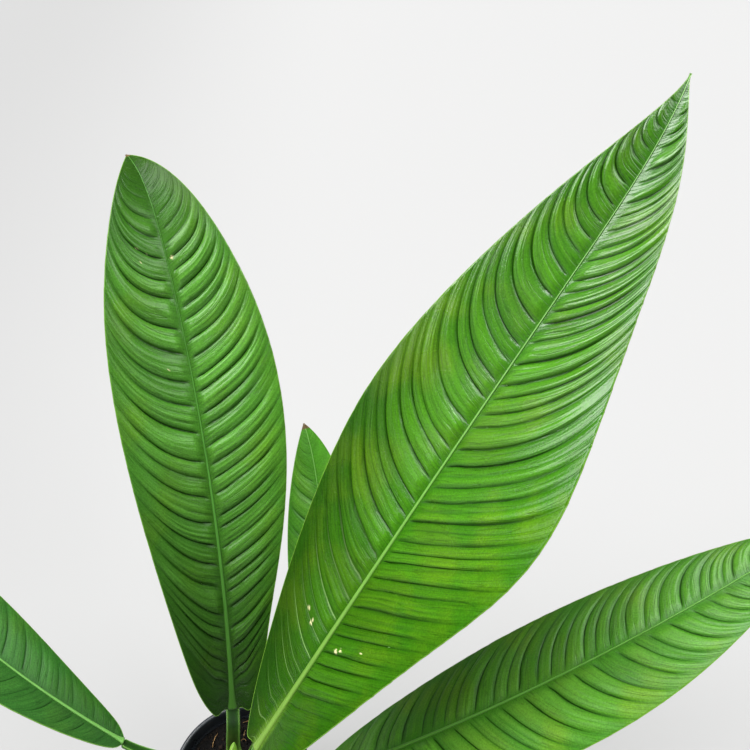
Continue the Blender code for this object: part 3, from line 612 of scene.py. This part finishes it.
def soil_look(name, dark, middle, light, grain_mm):
    """Potting mix: peat, bark fines and coir, damp. It gives a dark, rough mass of small grains that
    lie in clumps three times as wide."""
    made, tree, shader, _, where = new_look(name)
    grains = add(tree, "TexVoronoi", {}, {"Vector": where, "Scale": per_metre(grain_mm)})
    clumps = add(tree, "TexNoise", {}, {"Vector": where, "Scale": per_metre(3 * grain_mm), "Detail": 5.0})
    mixed = add(tree, "Math", TIMES_PLUS, [grains, 0.5, clumps])
    tone = add(tree, "ValToRGB", {"stops": [(0.45, dark), (0.75, middle), (1.0, light)]}, [mixed])
    bump = add(tree, "Bump", {}, {"Height": mixed, "Strength": 0.9, "Distance": MM})
    feed(tree, shader, {"Base Color": tone, "Normal": bump, "Roughness": 0.92,
                        "Specular IOR Level": 0.15})
    return made


# ---- leaves --------------------------------------------------------------------------------------

def blade_frame(leaf, t):
    """Midrib points and the directions along it, across to its left and out of its upper face. The
    heading and rise go evenly from base to tip, with an extra turn and dip in the last quarter; the
    path is the sum of the steps along; the roll turns left towards up."""
    fine = np.linspace(0.0, 1.0, PATH_STEPS)
    late = np.clip((fine - LAST_QUARTER) / (1.0 - LAST_QUARTER), 0.0, 1.0) ** 2
    az = np.radians(leaf["azimuth"][0] + (leaf["azimuth"][1] - leaf["azimuth"][0]) * fine
                    + leaf["turn"] * late)
    el = np.radians(leaf["rise"][0] + (leaf["rise"][1] - leaf["rise"][0]) * fine
                    - leaf["dip"] * late)
    along = np.stack([np.cos(el) * np.cos(az), np.cos(el) * np.sin(az), np.sin(el)], axis=1)
    steps = (along[1:] + along[:-1]) / 2 * leaf["length"] / (PATH_STEPS - 1)
    path = np.array(leaf["base"]) + np.vstack([np.zeros(3), np.cumsum(steps, axis=0)])
    left = np.stack([-np.sin(az), np.cos(az), np.zeros_like(az)], axis=1)
    up = np.cross(along, left)
    roll = np.radians(leaf["roll"][0] + (leaf["roll"][1] - leaf["roll"][0]) * fine)[:, None]
    across = np.cos(roll) * left + np.sin(roll) * up
    out = np.cross(along, across)
    return [np.stack([np.interp(t, fine, values[:, k]) for k in range(3)], axis=-1)
            for values in (path, along, across, out)]


def half_width(leaf, t, side):
    """Half width at t on the left (side = 1) or the right (-1): a round base with a low lobe, times a
    drawn-out tip, times a swell at the middle."""
    size, roundness, late, taper, swell, lobe = leaf["outline"][0 if side > 0 else 1]
    t = np.clip(t, 0.0, 1.0)
    base = BASE_FRACTION + (1.0 - BASE_FRACTION) * (1.0 - (1.0 - t) ** 2) ** roundness
    base = base + lobe * (t / LOBE_REACH) * np.exp(1.0 - t / LOBE_REACH)
    tip = (1.0 - t ** late) ** taper
    middle = 1.0 + swell * np.exp(-((t - 0.5) / SWELL_REACH) ** 2)
    drawn = 1.0 - leaf["drip"] * np.exp(-(1.0 - t) / DRIP_REACH)
    return np.maximum(size * base * tip * middle * drawn, LEAST_HALF_WIDTH)


def blade_points(leaf, t, s):
    """Points of the plain blade at (t, s): out from the midrib by half width times s, lifted by the
    fold and let down by the curl, with lobes that reach back past the stalk. Also the half width."""
    path, along, across, out = blade_frame(leaf, t)
    half = np.where(s >= 0, half_width(leaf, t, 1), half_width(leaf, t, -1))
    fold = math.radians(leaf["fold"])
    aside = half * s * math.cos(fold)
    lift = half * (np.abs(s) * math.sin(fold) - leaf["curl"] * s ** 2)
    clear_of_stalk = leaf["stalk"][1] / 2 + 0.001
    lobe = ease(half * np.abs(s), clear_of_stalk, clear_of_stalk + EAR_RISE)
    back = leaf["ears"] * lobe * np.exp(-t / EAR_REACH)
    points = path + aside[..., None] * across + lift[..., None] * out - back[..., None] * along
    return points, half


def vein_feet(leaf, spacing, crowd, rng):
    """Where one side's veins leave the midrib: uneven steps that shorten a little towards the tip,
    and towards the base where they crowd there."""
    feet = [-0.4 * spacing / leaf["length"]]
    while feet[-1] < 1.0:
        step = spacing / leaf["length"] * (1.0 - 0.22 * ease(feet[-1], 0.45, 1.0))
        step = step * (1.0 - crowd * math.exp(-max(feet[-1], 0.0) / CROWD_REACH))
        feet.append(feet[-1] + step * rng.uniform(*STEP_RANGE))
    return np.array(feet)


def quilting(leaf, quilt, u, s, half):
    """Height of the quilted relief over the plain blade, for points on the vein line that leaves the
    midrib at u. Between veins a pillow rises as a sine to a power under 1, so that it meets the next
    one in a crease; the way across it is itself raised to a power, which leans it to one side. Smaller
    folds and uneven ripples run along it; a narrow groove lies on the vein. All of it fades in from the
    midrib and out to the margin. Also the crest value, from 0 to 1, which paints shade and light over
    the relief: dark in the grooves, light on the crests and the small folds' tops; the strength of the
    nearest groove, from 0 to 1; and the count of veins, which is whole on each vein."""
    height, crest, groove, counted = (np.zeros(u.shape) for _ in range(4))
    xi = np.abs(s)
    out_mm = xi * half / MM
    for side in (1, -1):
        part = 0 if side > 0 else 1
        rng = np.random.default_rng(quilt["seed"] + part * 1000)
        spacing, depth = quilt["spacing"][part], quilt["depth"][part]
        feet = vein_feet(leaf, spacing, quilt["crowd"], rng)
        count = len(feet)
        gain = rng.uniform(*GAIN_RANGE, count)
        skew = rng.uniform(*SKEW_RANGE, count) * quilt["lean"][part]
        minor, cut = rng.uniform(*MINOR_RANGE, count), rng.uniform(*CUT_RANGE, count)
        folds, slant = rng.integers(*FOLD_COUNTS, count), rng.uniform(*SLANT_RANGE, count)
        wander = WANDER * ripple(u * leaf["length"] / WANDER_SIZE[0], out_mm / WANDER_SIZE[1],
                                 quilt["seed"] + side)
        number = np.interp(u, feet, np.arange(count)) + wander * ease(out_mm, 3.0, 12.0)
        number = np.clip(number, 0.0, count - 1.001)
        k = np.floor(number).astype(int)
        phase = number - k
        gap = np.diff(feet, append=feet[-1] + (feet[-1] - feet[-2]))[k] * leaf["length"]
        near = np.minimum(phase, 1.0 - phase) * gap / MM
        nearest = np.clip(k + (phase > 0.5), 0, count - 1)
        rise = np.maximum(np.sin(math.pi * np.clip(phase, 1e-4, 1.0) ** skew[k]), 0.0)
        pillow = gap * PILLOW_RISE * gain[k] * rise ** PILLOW_POWER
        wave = np.abs(np.sin(math.pi * (folds[k] * phase + slant[k] * xi))) ** 0.6 - 0.6
        fold = gap * FOLD_RISE * minor[k] * wave * rise
        uneven = sum(high * ripple(number * spacing / MM / across, out_mm / along, quilt["seed"] + seed)
                     for high, across, along, seed in RIPPLES)
        smooth = quilt["smooth"][part]
        late = ease(u, quilt["calm"], quilt["calm"] + CALM_FADE)
        start = ease(u, smooth * 0.35, smooth + 0.04) * (1.0 - 0.85 * late)
        body = ease(out_mm, *RISE_MM) * (1.0 - 0.80 * ease(xi, *FADE_OUT)) * start
        line = ease(out_mm, *GROOVE_MM) * (1.0 - ease(xi, *GROOVE_OUT)) * (0.25 + 0.75 * start)
        trench = np.exp(-(near / TRENCH_MM) ** 2) * cut[nearest] * line
        relief = depth * (body * (pillow + fold + uneven - LET_DOWN * gap) - TRENCH_DEPTH * trench)
        # Painted shade and light: low in the grooves, high on the crests and on the small folds' tops.
        tone = MID_TONE + (rise ** 0.4 * gain[k] - MID_TONE) * body * min(1.0, depth + 0.2)
        tone = tone + 0.55 * body * minor[k] * wave * rise
        here = (s >= 0) if side > 0 else (s < 0)
        height = np.where(here, relief, height)
        crest = np.where(here, tone, crest)
        groove = np.where(here, cut[nearest] * line * min(1.0, depth + 0.4), groove)
        counted = np.where(here, number + LEFT_COUNT * (side > 0), counted)
    return height, np.clip(crest, 0.0, 1.0), np.clip(groove, 0.0, 1.0), counted


def blade_grid(leaf, quilt, rows, columns):
    """The quilted blade on a grid whose rows follow the side veins: a row leaves the midrib at u and
    runs forward as the quilt's path says, more where the veins fan out, and not at base and tip."""
    u = np.linspace(0.0, 1.0, rows)[:, None] * np.ones(len(columns))
    s = np.ones(rows)[:, None] * columns
    half = np.where(s >= 0, half_width(leaf, u, 1), half_width(leaf, u, -1))
    xi = np.abs(s)
    left, right = quilt["path"]
    straight, bent = np.where(s >= 0, left[0], right[0]), np.where(s >= 0, left[1], right[1])
    forward = half * (straight * xi + bent * xi ** 3) / leaf["length"]
    fan = 1.0 + quilt["fan"] * np.exp(-u / FAN_REACH)
    t = u + forward * fan * ease(u, 0.0, ROW_TURN[0]) * (1.0 - ease(u, ROW_TURN[1], 1.0))
    points, half = blade_points(leaf, t, s)
    du, ds = np.gradient(points, axis=0), np.gradient(points, axis=1)
    normal = unit(np.cross(du, ds))
    height, crest, groove, counted = quilting(leaf, quilt, u, s, half)
    return t, s, half, points, normal, height, crest, groove, counted


def make_lamina(name, leaf, quilt, look):
    """A closed thin sheet: the quilted grid on top, the same one 0.5 mm lower with a third of the
    columns beneath, and a strip round the margin. Columns stand closer together near the midrib."""
    rows, side_columns = quilt["grid"]
    even = np.linspace(-1.0, 1.0, 2 * side_columns + 1)
    columns = np.sign(even) * np.abs(even) ** 1.15
    t, s, half, points, normal, height, crest, groove, counted = blade_grid(leaf, quilt, rows, columns)
    top = points + normal * height[..., None]
    beneath = (points + normal * (height - LAMINA_THICK)[..., None])[:, ::3]
    wide, narrow = top.shape[1], beneath.shape[1]
    faces = quads(rows, wide)
    low = rows * wide
    faces += quads(rows, narrow, start=low, flip=True)
    i = np.arange(rows - 1)
    a, b = i * wide + wide - 1, low + i * narrow + narrow - 1
    faces += np.stack([a, a + wide, b + narrow, b], axis=1).tolist()
    a, b = i * wide, low + i * narrow
    faces += np.stack([a, b, b + narrow, a + wide], axis=1).tolist()
    for row, turn in ((0, -1), (rows - 1, 1)):
        for m in range(narrow - 1):
            a, b = row * wide + 3 * m, low + row * narrow + m
            faces.append([b, b + 1, a + 3, a + 2, a + 1, a][::turn])
    skin = np.vstack([top.reshape(-1, 3), beneath.reshape(-1, 3)])
    piece = add_piece(name + "_lamina", skin, faces, look, [name + "_blade"])

    def both(values, under=None):
        """Values for the upper grid, then for the lower one, which takes its own or a fixed one."""
        lower = values[:, ::3] if under is None else np.full((rows, narrow), under)
        return np.concatenate([values.ravel(), lower.ravel()])

    edge = half * (1.0 - np.abs(s)) / MM
    set_vectors(piece, "leaf_place", both(t), both(s), both(edge))
    set_vectors(piece, "leaf_relief", both(crest), both(groove), both(np.zeros_like(t), 1.0))
    set_vectors(piece, "vein_grain", both(counted), both(np.abs(s) * half / MM), both(t))
    spots = np.zeros_like(t)
    for spot_t, spot_s, size_mm in quilt["spots"]:
        away = np.hypot((t - spot_t) * leaf["length"], (s - spot_s) * half) / MM
        ragged = 1.0 + 0.5 * ripple(t * 900.0, s * 90.0, quilt["seed"] + 9)
        spots = np.maximum(spots, 1.0 - ease(away * ragged, 0.6 * size_mm, 1.1 * size_mm))
    values = piece.data.attributes.new("blemish", "FLOAT", "POINT")
    values.data.foreach_set("value", both(spots, 0.0).astype(np.float32))
    return piece


def make_midrib(name, leaf, quilt, look):
    """A ring carried along the midrib: a low crown above and a deeper keel below. Its width goes from
    the stalk's, over the first few centimetres, to that of the rib, and by a power to a thread."""
    t = np.linspace(0.0, RIB_END, RIB_ROWS)
    around = np.linspace(0.0, 2 * math.pi, RIB_SIDES, endpoint=False)
    path, _, across, out = blade_frame(leaf, t)
    low, tip = quilt["rib"]
    at_stalk = 0.86 * leaf["stalk"][1]
    width = tip + (low - tip) * (1.0 - t) ** RIB_TAPER + (at_stalk - low) * np.exp(-t / RIB_SPREAD)
    crown = RIB_CROWN[0] * width + RIB_CROWN[1]
    keel = np.minimum(RIB_KEEL[0] * width + RIB_KEEL[1], RIB_DEEPEST)
    aside = 0.5 * width[:, None] * np.cos(around)
    lift = np.where(np.sin(around) > 0, crown[:, None], keel[:, None]) * np.sin(around)
    rings = path[:, None] + aside[..., None] * across[:, None]
    rings = rings + (lift[..., None] + RIB_LIFT) * out[:, None]
    points, faces = tube(rings[:, ::-1])
    piece = add_piece(name + "_midrib", points, faces, look, [name + "_blade"])
    share = np.repeat(t, len(around))
    side = np.tile(np.cos(around)[::-1], len(t))
    under = np.tile((np.sin(around)[::-1] < -0.05) * 1.0, len(t))
    set_vectors(piece, "rib_place", share, side, under)
    return piece


def make_stalk(name, leaf, look):
    """A D-shaped ring carried along a cubic curve from the stem to the blade, turning to face as the
    blade does: width times cosine across, depth times sine through, with a shallow channel and two
    raised edges on its upper face, and a broad sheath where it clasps the stem."""
    foot_width, top_width, leave_angle, leave_height = leaf["stalk"]
    angle = math.radians(leave_angle)
    outward = np.array((math.cos(angle), math.sin(angle), 0.0))
    _, along, _, out = blade_frame(leaf, np.array([0.0]))
    along, face = along[0], out[0]
    foot = CROWN + outward * (STEM_R + GAP + 0.31 * foot_width) + (0.0, 0.0, leave_height)
    top = np.array(leaf["base"]) - along * GAP * 2 - face * top_width * 0.20
    reach = np.linalg.norm(top - foot)
    start = outward * STALK_START[0] + np.array((0.0, 0.0, STALK_START[1]))
    a, b = foot, foot + start * reach * STALK_HANDLES[0]
    c, d = top - along * reach * STALK_HANDLES[1], top
    share = np.linspace(0.0, 1.0, STALK_ROWS)[:, None]
    rest = 1.0 - share
    place = rest ** 3 * a + 3 * rest ** 2 * share * b + 3 * rest * share ** 2 * c + share ** 3 * d
    slope = unit(3 * rest ** 2 * (b - a) + 6 * rest * share * (c - b) + 3 * share ** 2 * (d - c))
    facing = -outward * rest + face * share
    facing = unit(facing - slope * np.sum(facing * slope, axis=1, keepdims=True))
    side = np.cross(slope, facing)
    around = np.linspace(0.0, 2 * math.pi, STALK_SIDES, endpoint=False)
    cos, sin = np.cos(around), np.sin(around)
    width = foot_width + (top_width - foot_width) * share ** 0.6
    flare = 1.0 + SHEATH_FLARE * np.exp(-share / SHEATH_REACH)
    deep = width * (0.42 + 0.08 * np.minimum(1.0, share * 3))
    edge = np.exp(-((np.abs(cos) - EDGE_PLACE) / EDGE_SPREAD) ** 2) * (sin > 0)
    channel = np.where(sin > 0, 1.0 - np.abs(cos) ** 2, 0.0)
    across = 0.5 * width * flare * cos
    upper = FACE_RISE * sin - CHANNEL_DEPTH * channel + EDGE_RISE * edge
    through = deep * np.where(sin > 0, upper, sin)
    closing = (1.0 - 0.5 * ease(share, 0.985, 1.0)) * (1.0 - 0.35 * (1.0 - ease(share, 0.0, 0.02)))
    rings = place[:, None] + (across * closing)[..., None] * side[:, None]
    rings = rings + (through * closing)[..., None] * facing[:, None]
    points, faces = tube(rings[:, ::-1])
    piece = add_piece(name + "_stalk_skin", points, faces, look, [name + "_stalk"])
    shape = rings.shape[:2]
    set_vectors(piece, "stalk_place", np.broadcast_to(share, shape).ravel(),
                np.broadcast_to(edge[::-1], shape).ravel(),
                np.broadcast_to((channel * ease(channel, 0.2, 0.8))[::-1], shape).ravel())
    return piece


def make_new_leaf():
    """A ring carried from foot to tip, its radius a slim bud shape, with a step round it where the
    rolled blade's free edge lies; the step winds slowly round towards the tip."""
    foot = np.array(spear_low) + (0.0026, 0.0022, 0.0004)
    tip = np.array((-0.0010, 0.0075, spear_high[2] - 0.0002))
    along = unit(tip - foot)
    side = unit(np.cross(along, (0.0, 1.0, 0.0)))
    front = np.cross(along, side)
    share = np.linspace(0.0, 1.0, 70)[:, None]
    around = np.linspace(0.0, 2 * math.pi, 40, endpoint=False)
    turn = np.mod(around - ROLL_TURN * share, 2 * math.pi) / (2 * math.pi)
    radius = ROLL_R * (0.72 + 0.5 * share) * (1.0 - share ** 3.2) + 0.0003
    radius = radius * (0.90 + 0.12 * turn)
    rings = foot + (tip - foot) * share[..., None]
    rings = rings + (radius * np.cos(around))[..., None] * side
    rings = rings + (0.85 * radius * np.sin(around))[..., None] * front
    points, faces = tube(rings[:, ::-1])
    piece = add_piece("new_leaf_roll", points, faces, new_leaf_look(), ["new_leaf_spear"])
    seam = np.exp(-((1.0 - turn) / 0.05) ** 2)[:, ::-1]
    set_vectors(piece, "roll_place", np.broadcast_to(share, turn.shape).ravel(), seam.ravel(), 0.0)
    return piece


# ---- pot, soil and stem --------------------------------------------------------------------------

def wall_radius(height):
    """Inside radius of the pot's tapering wall."""
    (low_r, low), (high_r, high) = WALL_LOW, WALL_HIGH
    return low_r + (high_r - low_r) * (height - low) / (high - low)


def make_pot():
    """A moulded profile carried round the axis, then holes and notches cut through the base. The
    profile is pairs of radius and height."""
    rim, top = pot_high.x, pot_high.z
    foot_in, foot_out = FOOT_R
    floor_top, under = 0.0030, CHANNEL_RISE
    profile = [
        # up the inside: pad, floor, step over the foot ring, wall, collar
        (0.0, 0.0016), (PAD_R - 0.0002, 0.0016), (0.0146, floor_top), (0.0305, floor_top),
        (foot_in, 0.0022), (0.0367, 0.0022), (wall_radius(0.0034), 0.0034),
        (wall_radius(WALL_HIGH[1]), WALL_HIGH[1]), (0.0502, 0.0876), (0.0508, 0.0968),
        # over the rolled rim and back beneath it
        (0.0513, top - 0.0010), (0.0522, top), (rim - 0.0012, top), (rim - 0.0003, top - 0.0005),
        (rim, top - 0.0015), (rim, top - 0.0055), (rim - 0.0010, top - 0.0055),
        (rim - 0.0011, top - 0.0018), (0.0526, top - 0.0014), (0.0520, top - 0.0030),
        # down the outside: collar, wall, foot ring, channel, pad
        (0.0514, 0.0872), (wall_radius(0.0852) + POT_WALL, 0.0852),
        (wall_radius(0.0020) + POT_WALL, 0.0020), (foot_out, 0.0), (foot_in, 0.0), (0.0305, under),
        (0.0146, under), (PAD_R, 0.0), (0.0, 0.0),
    ]
    line = rounded(profile, 0.0009)
    centres = np.zeros((len(line), 2))
    points, faces = turned(centres, line[:, 0], line[:, 1][:, None], 168)
    pot = add_piece("pot_moulding", points, faces, pot_look(), ["pot"])
    cutters = []
    angle = np.linspace(0.0, 2 * math.pi, 24, endpoint=False)
    for i in range(DRAIN_HOLES):
        turn = 2 * math.pi * (i + DRAIN_HOLE_TURN) / DRAIN_HOLES
        ring = np.stack([DRAIN_CIRCLE_R * math.cos(turn) + DRAIN_HOLE_R * np.cos(angle),
                         DRAIN_CIRCLE_R * math.sin(turn) + DRAIN_HOLE_R * np.sin(angle),
                         np.zeros(len(angle))], axis=-1)
        cutters.append(np.stack([ring + (0, 0, -0.004), ring + (0, 0, 0.008)]))
    length, width, high = NOTCH_SIZE
    for i in range(DRAIN_NOTCHES):
        turn = 2 * math.pi * (i + NOTCH_TURN) / DRAIN_NOTCHES
        out = np.array((math.cos(turn), math.sin(turn), 0.0))
        left = np.array((-math.sin(turn), math.cos(turn), 0.0)) * width / 2
        near, far = out * NOTCH_START_R, out * (NOTCH_START_R + length)
        ring = np.array([near - left, far - left, far + left, near + left])
        cutters.append(np.stack([ring + (0, 0, -high), ring + (0, 0, high)]))
    tools = []
    for number, rings in enumerate(cutters):
        points, faces = tube(rings)
        mesh = bpy.data.meshes.new("cutter_%d" % number)
        mesh.from_pydata(points.tolist(), [], faces)
        tool = bpy.data.objects.new(mesh.name, mesh)
        bpy.context.scene.collection.objects.link(tool)
        cut = pot.modifiers.new("Cut", "BOOLEAN")
        cut.operation, cut.solver, cut.object = "DIFFERENCE", "EXACT", tool
        tools.append(tool)
    bpy.context.view_layer.update()
    solid = bpy.data.meshes.new_from_object(pot.evaluated_get(bpy.context.evaluated_depsgraph_get()))
    pot.modifiers.clear()
    pot.data = solid
    solid.shade_smooth()
    solid.set_sharp_from_angle(angle=math.radians(50))
    for tool in tools:
        bpy.data.objects.remove(tool)
    return pot


def soil_height(x, y):
    """Height of the soil's top: a low crown with lumps of 5, 2 and 1 mm, lower against the wall."""
    share = np.hypot(x, y) / wall_radius(soil_high.z)
    lumps = sum(high * ripple(x / size, y / size, seed) for high, size, seed in SOIL_LUMPS)
    return SOIL_LEVEL + SOIL_CROWN * (1.0 - share ** 2) + lumps * (1.0 - 0.6 * ease(share, 0.85, 1.0))


def make_soil():
    """Rings from the bottom of the stem's pocket, up beside the stem, over the lumpy top to the wall,
    down the wall and back to the axis. Ring centres move from the stem's axis to the pot's."""
    top_rings, steps = 64, 180
    pocket, pocket_floor = STEM_R + GAP, stem_low.z - GAP
    wall = wall_radius(SOIL_LEVEL - 0.0005) - SOIL_GAP
    shoulder, low = SOIL_LEVEL - 0.002, soil_low.z
    across = np.linspace(0.0, 1.0, top_rings)
    radii = np.concatenate([[0.0, pocket, pocket], pocket + (wall - pocket) * across,
                            [wall_radius(shoulder) - SOIL_GAP, wall_radius(low) - SOIL_GAP, 0.0]])
    shift = np.concatenate([[1.0, 1.0, 1.0], 1.0 - across, [0.0, 0.0, 0.0]])
    centres = shift[:, None] * CROWN[:2]
    heights = np.concatenate([[pocket_floor, pocket_floor, SOIL_LEVEL - 0.006],
                              np.full(top_rings, SOIL_LEVEL), [shoulder, low, low]])
    angle = np.linspace(0.0, 2 * math.pi, steps, endpoint=False)
    x = centres[:, :1] + radii[:, None] * np.cos(angle)
    y = centres[:, 1:2] + radii[:, None] * np.sin(angle)
    heights = np.broadcast_to(heights[:, None], x.shape).copy()
    top = slice(3, 3 + top_rings)
    heights[top] = soil_height(x[top], y[top])
    points, faces = turned(centres, radii, heights, steps)
    faces = [face[::-1] for face in faces]
    look = soil_look("damp_potting_mix", "#020202", "#070605", "#140f0c", 2.38)
    return add_piece("soil_bed", points, faces, look, ["soil"])


def scatter(count, rng, keep_from_stem):
    """Places on the soil, even by area, clear of the stem and just inside the wall."""
    places = np.empty((0, 2))
    while len(places) < count:
        radius = SCATTER_R * np.sqrt(rng.random(count))
        angle = rng.uniform(0.0, 2 * math.pi, count)
        more = np.stack([radius * np.cos(angle), radius * np.sin(angle)], axis=1)
        clear = np.hypot(*(more - CROWN[:2]).T) > STEM_R + keep_from_stem
        places = np.vstack([places, more[clear]])
    return places[:count]


def make_crumbs():
    """Loose crumbs: a 20-faced lump with each corner moved, copied, turned, and 1 to 4 mm across."""
    golden = (1 + math.sqrt(5)) / 2
    corners = unit(np.array([(-1, golden, 0), (1, golden, 0), (-1, -golden, 0), (1, -golden, 0),
                             (0, -1, golden), (0, 1, golden), (0, -1, -golden), (0, 1, -golden),
                             (golden, 0, -1), (golden, 0, 1), (-golden, 0, -1), (-golden, 0, 1)]))
    sides = np.array([(0, 11, 5), (0, 5, 1), (0, 1, 7), (0, 7, 10), (0, 10, 11), (1, 5, 9),
                      (5, 11, 4), (11, 10, 2), (10, 7, 6), (7, 1, 8), (3, 9, 4), (3, 4, 2),
                      (3, 2, 6), (3, 6, 8), (3, 8, 9), (4, 9, 5), (2, 4, 11), (6, 2, 10),
                      (8, 6, 7), (9, 8, 1)])
    count = 900
    rng = np.random.default_rng(91)
    places = scatter(count, rng, 0.0015)
    size = 0.00045 + 0.0016 * rng.random(count) ** 3
    lumps = corners[None] * (1.0 + rng.uniform(-0.3, 0.3, (count, 12, 1))) * size[:, None, None]
    lumps *= rng.uniform(0.6, 1.3, (count, 1, 3))
    turn = rng.uniform(0.0, 2 * math.pi, (count, 1))
    x = lumps[..., 0] * np.cos(turn) - lumps[..., 1] * np.sin(turn) + places[:, :1]
    y = lumps[..., 0] * np.sin(turn) + lumps[..., 1] * np.cos(turn) + places[:, 1:]
    z = lumps[..., 2] + (soil_height(places[:, 0], places[:, 1]) + 0.25 * size)[:, None]
    faces = (sides[None] + (np.arange(count) * 12)[:, None, None]).reshape(-1, 3).tolist()
    look = soil_look("bark_and_peat_crumbs", "#050403", "#0c0907", "#241b13", 3.85)
    add_piece("soil_crumbs", np.stack([x, y, z], axis=-1), faces, look, ())


def make_fibres():
    """Pale root and coir fibres: a four-sided thread carried along a shallow curved path."""
    count, steps = 46, 9
    rng = np.random.default_rng(93)
    places = scatter(count, rng, 0.006)
    share = np.linspace(-0.5, 0.5, steps)
    length = rng.uniform(0.004, 0.013, count)[:, None]
    heading = rng.uniform(0.0, 2 * math.pi, count)[:, None] + rng.uniform(-1.5, 1.5, (count, 1)) * share
    x = places[:, :1] + length * share * np.cos(heading)
    y = places[:, 1:] + length * share * np.sin(heading)
    inside = np.minimum(1.0, 0.047 / np.hypot(x, y))
    x, y = x * inside, y * inside
    z = soil_height(x, y) + 0.0007 + 0.0009 * (1.0 - 4.0 * share ** 2) * rng.random((count, 1))
    path = np.stack([x, y, z], axis=-1)
    along = unit(np.gradient(path, axis=1))
    side = unit(np.cross(along, (0.0, 0.0, 1.0)))
    up = np.cross(side, along)
    thick = (0.00016 + 0.00022 * rng.random((count, 1))) * (1.0 - 1.6 * share ** 2)
    around = np.linspace(0.0, 2 * math.pi, 4, endpoint=False)
    about = np.cos(around)[:, None] * side[:, :, None] + np.sin(around)[:, None] * up[:, :, None]
    rings = path[:, :, None] + thick[..., None, None] * about
    points, faces = [], []
    for number, each in enumerate(rings):
        more, sides = tube(each)
        faces += [[v + number * steps * 4 for v in face] for face in sides]
        points.append(more)
    look = soil_look("dry_coir_fibre", "#5a4128", "#8a6a44", "#b39468", 1.11)
    add_piece("soil_fibres", np.vstack(points), faces, look, ())


def make_stem():
    """Rings up the stem: each old leaf left a low step, a little tilted and out of round."""
    low, high = stem_low.z, stem_high.z
    share = np.linspace(0.0, 1.0, 110)
    height = low + (high - low) * share
    step = np.mod((height - FIRST_RING) / RING_GAP, 1.0)
    radius = STEM_R * (0.925 + 0.045 * step)
    radius = radius * np.minimum(1.0, np.sqrt(np.clip((1.0 - share) / 0.10, 0.0, 1.0)) * 0.8 + 0.2)
    radius = radius * np.minimum(1.0, 0.6 + share / 0.04 * 0.4)
    angle = np.linspace(0.0, 2 * math.pi, 96, endpoint=False)
    uneven = 1.0 + 0.012 * ripple(angle * 2.0 + height[:, None] * 0, height[:, None] / 0.003, 95)
    tilt = 0.0006 * np.sin(angle + 2.4 * np.floor((height[:, None] - FIRST_RING) / RING_GAP))
    rings = np.stack([CROWN[0] + radius[:, None] * uneven * np.cos(angle),
                      CROWN[1] + radius[:, None] * uneven * np.sin(angle),
                      height[:, None] + tilt * (share[:, None] > 0.05) * (share[:, None] < 0.9)],
                     axis=-1)
    points, faces = tube(rings)
    faces = [face[::-1] for face in faces]
    piece = add_piece("stem_rings", points, faces, stem_look(), ["stem"])
    scar = np.exp(-((step - 0.97) / 0.06) ** 2)[:, None] * np.ones(len(angle))
    set_vectors(piece, "stem_place", scar.ravel(), 0.0, 0.0)


# ---- stage ---------------------------------------------------------------------------------------

def make_stage():
    """A grey floor with painted light: it glows, so that it looks pale and shadows on it are faint, less on
    its left and in front, as under an uneven soft light; soft light from overhead, from the left and from
    the right; and a faint light all round."""
    mesh = bpy.data.meshes.new("floor")
    reach = 40.0
    mesh.from_pydata([(-reach, -reach, 0), (reach, -reach, 0), (reach, reach, 0), (-reach, reach, 0)],
                     [], [(0, 1, 2, 3)])
    floor = bpy.data.objects.new("floor", mesh)
    bpy.context.scene.collection.objects.link(floor)
    made, tree, shader, _, where = new_look("grey_board_painted_glow")
    across = add(tree, "SeparateXYZ", {}, [where])
    # Painted light: the glow stands in for uneven soft light on a pale floor.
    glow = add(tree, "MapRange", SMOOTH, [across, -0.75, 0.05, 0.32, 0.475])
    front = add(tree, "MapRange", SMOOTH, [across.node.outputs[1], -0.7, 0.0, 0.4, 1.0])
    feed(tree, shader, {"Base Color": paint("#737373"), "Roughness": 0.9, "Specular IOR Level": 0.1,
                        "Emission Color": paint("#f3f3f2"),
                        "Emission Strength": add(tree, "Math", TIMES, [glow, front])})
    mesh.materials.append(made)

    # Name, height above level, direction that it comes from, spread and strength of each light.
    for name, elevation, azimuth, spread, strength in (
            ("overhead", 80, 160, 46, 4.9), ("window", 39, 182, 42, 3.3), ("side", 47, -18, 42, 1.6)):
        lamp = bpy.data.lights.new(name, "SUN")
        lamp.energy = strength
        lamp.angle = math.radians(spread)
        light = bpy.data.objects.new(name, lamp)
        a, e = math.radians(azimuth), math.radians(elevation)
        light.rotation_euler = (0.0, math.pi / 2 - e, a)
        bpy.context.scene.collection.objects.link(light)

    world = bpy.data.worlds.new("soft_room")
    bpy.context.scene.world = world
    world.use_nodes = True
    tree = world.node_tree
    seen = add(tree, "LightPath", {}, {}, "Is Camera Ray")
    strength = add(tree, "MapRange", {}, [seen, 0.0, 1.0, 0.10, 0.88])
    feed(tree, tree.nodes["Background"], {"Color": paint("#f2f5f8"), "Strength": strength})


def make_camera():
    """Looks down at 45 degrees from above and in front of the pot, and a little to its right."""
    data = bpy.data.cameras.new("camera")
    data.sensor_width = 36.0
    data.lens = 38.59
    camera = bpy.data.objects.new("camera", data)
    camera.location = (0.10753, -0.23018, 0.78026)
    camera.rotation_euler = (math.radians(45.0), 0.0, 0.0)
    bpy.context.scene.collection.objects.link(camera)
    bpy.context.scene.camera = camera


stalk_skin = stalk_look()
for name, leaf in LEAVES.items():
    quilt = {**USUAL, **QUILTS[name]}
    make_lamina(name, leaf, quilt, blade_look(name, quilt))
    make_midrib(name, leaf, quilt, rib_look(name, quilt))
    make_stalk(name, leaf, stalk_skin)
make_new_leaf()
make_stem()
make_pot()
make_soil()
make_crumbs()
make_fibres()
make_stage()
make_camera()
bpy.context.scene.view_settings.view_transform = "Standard"
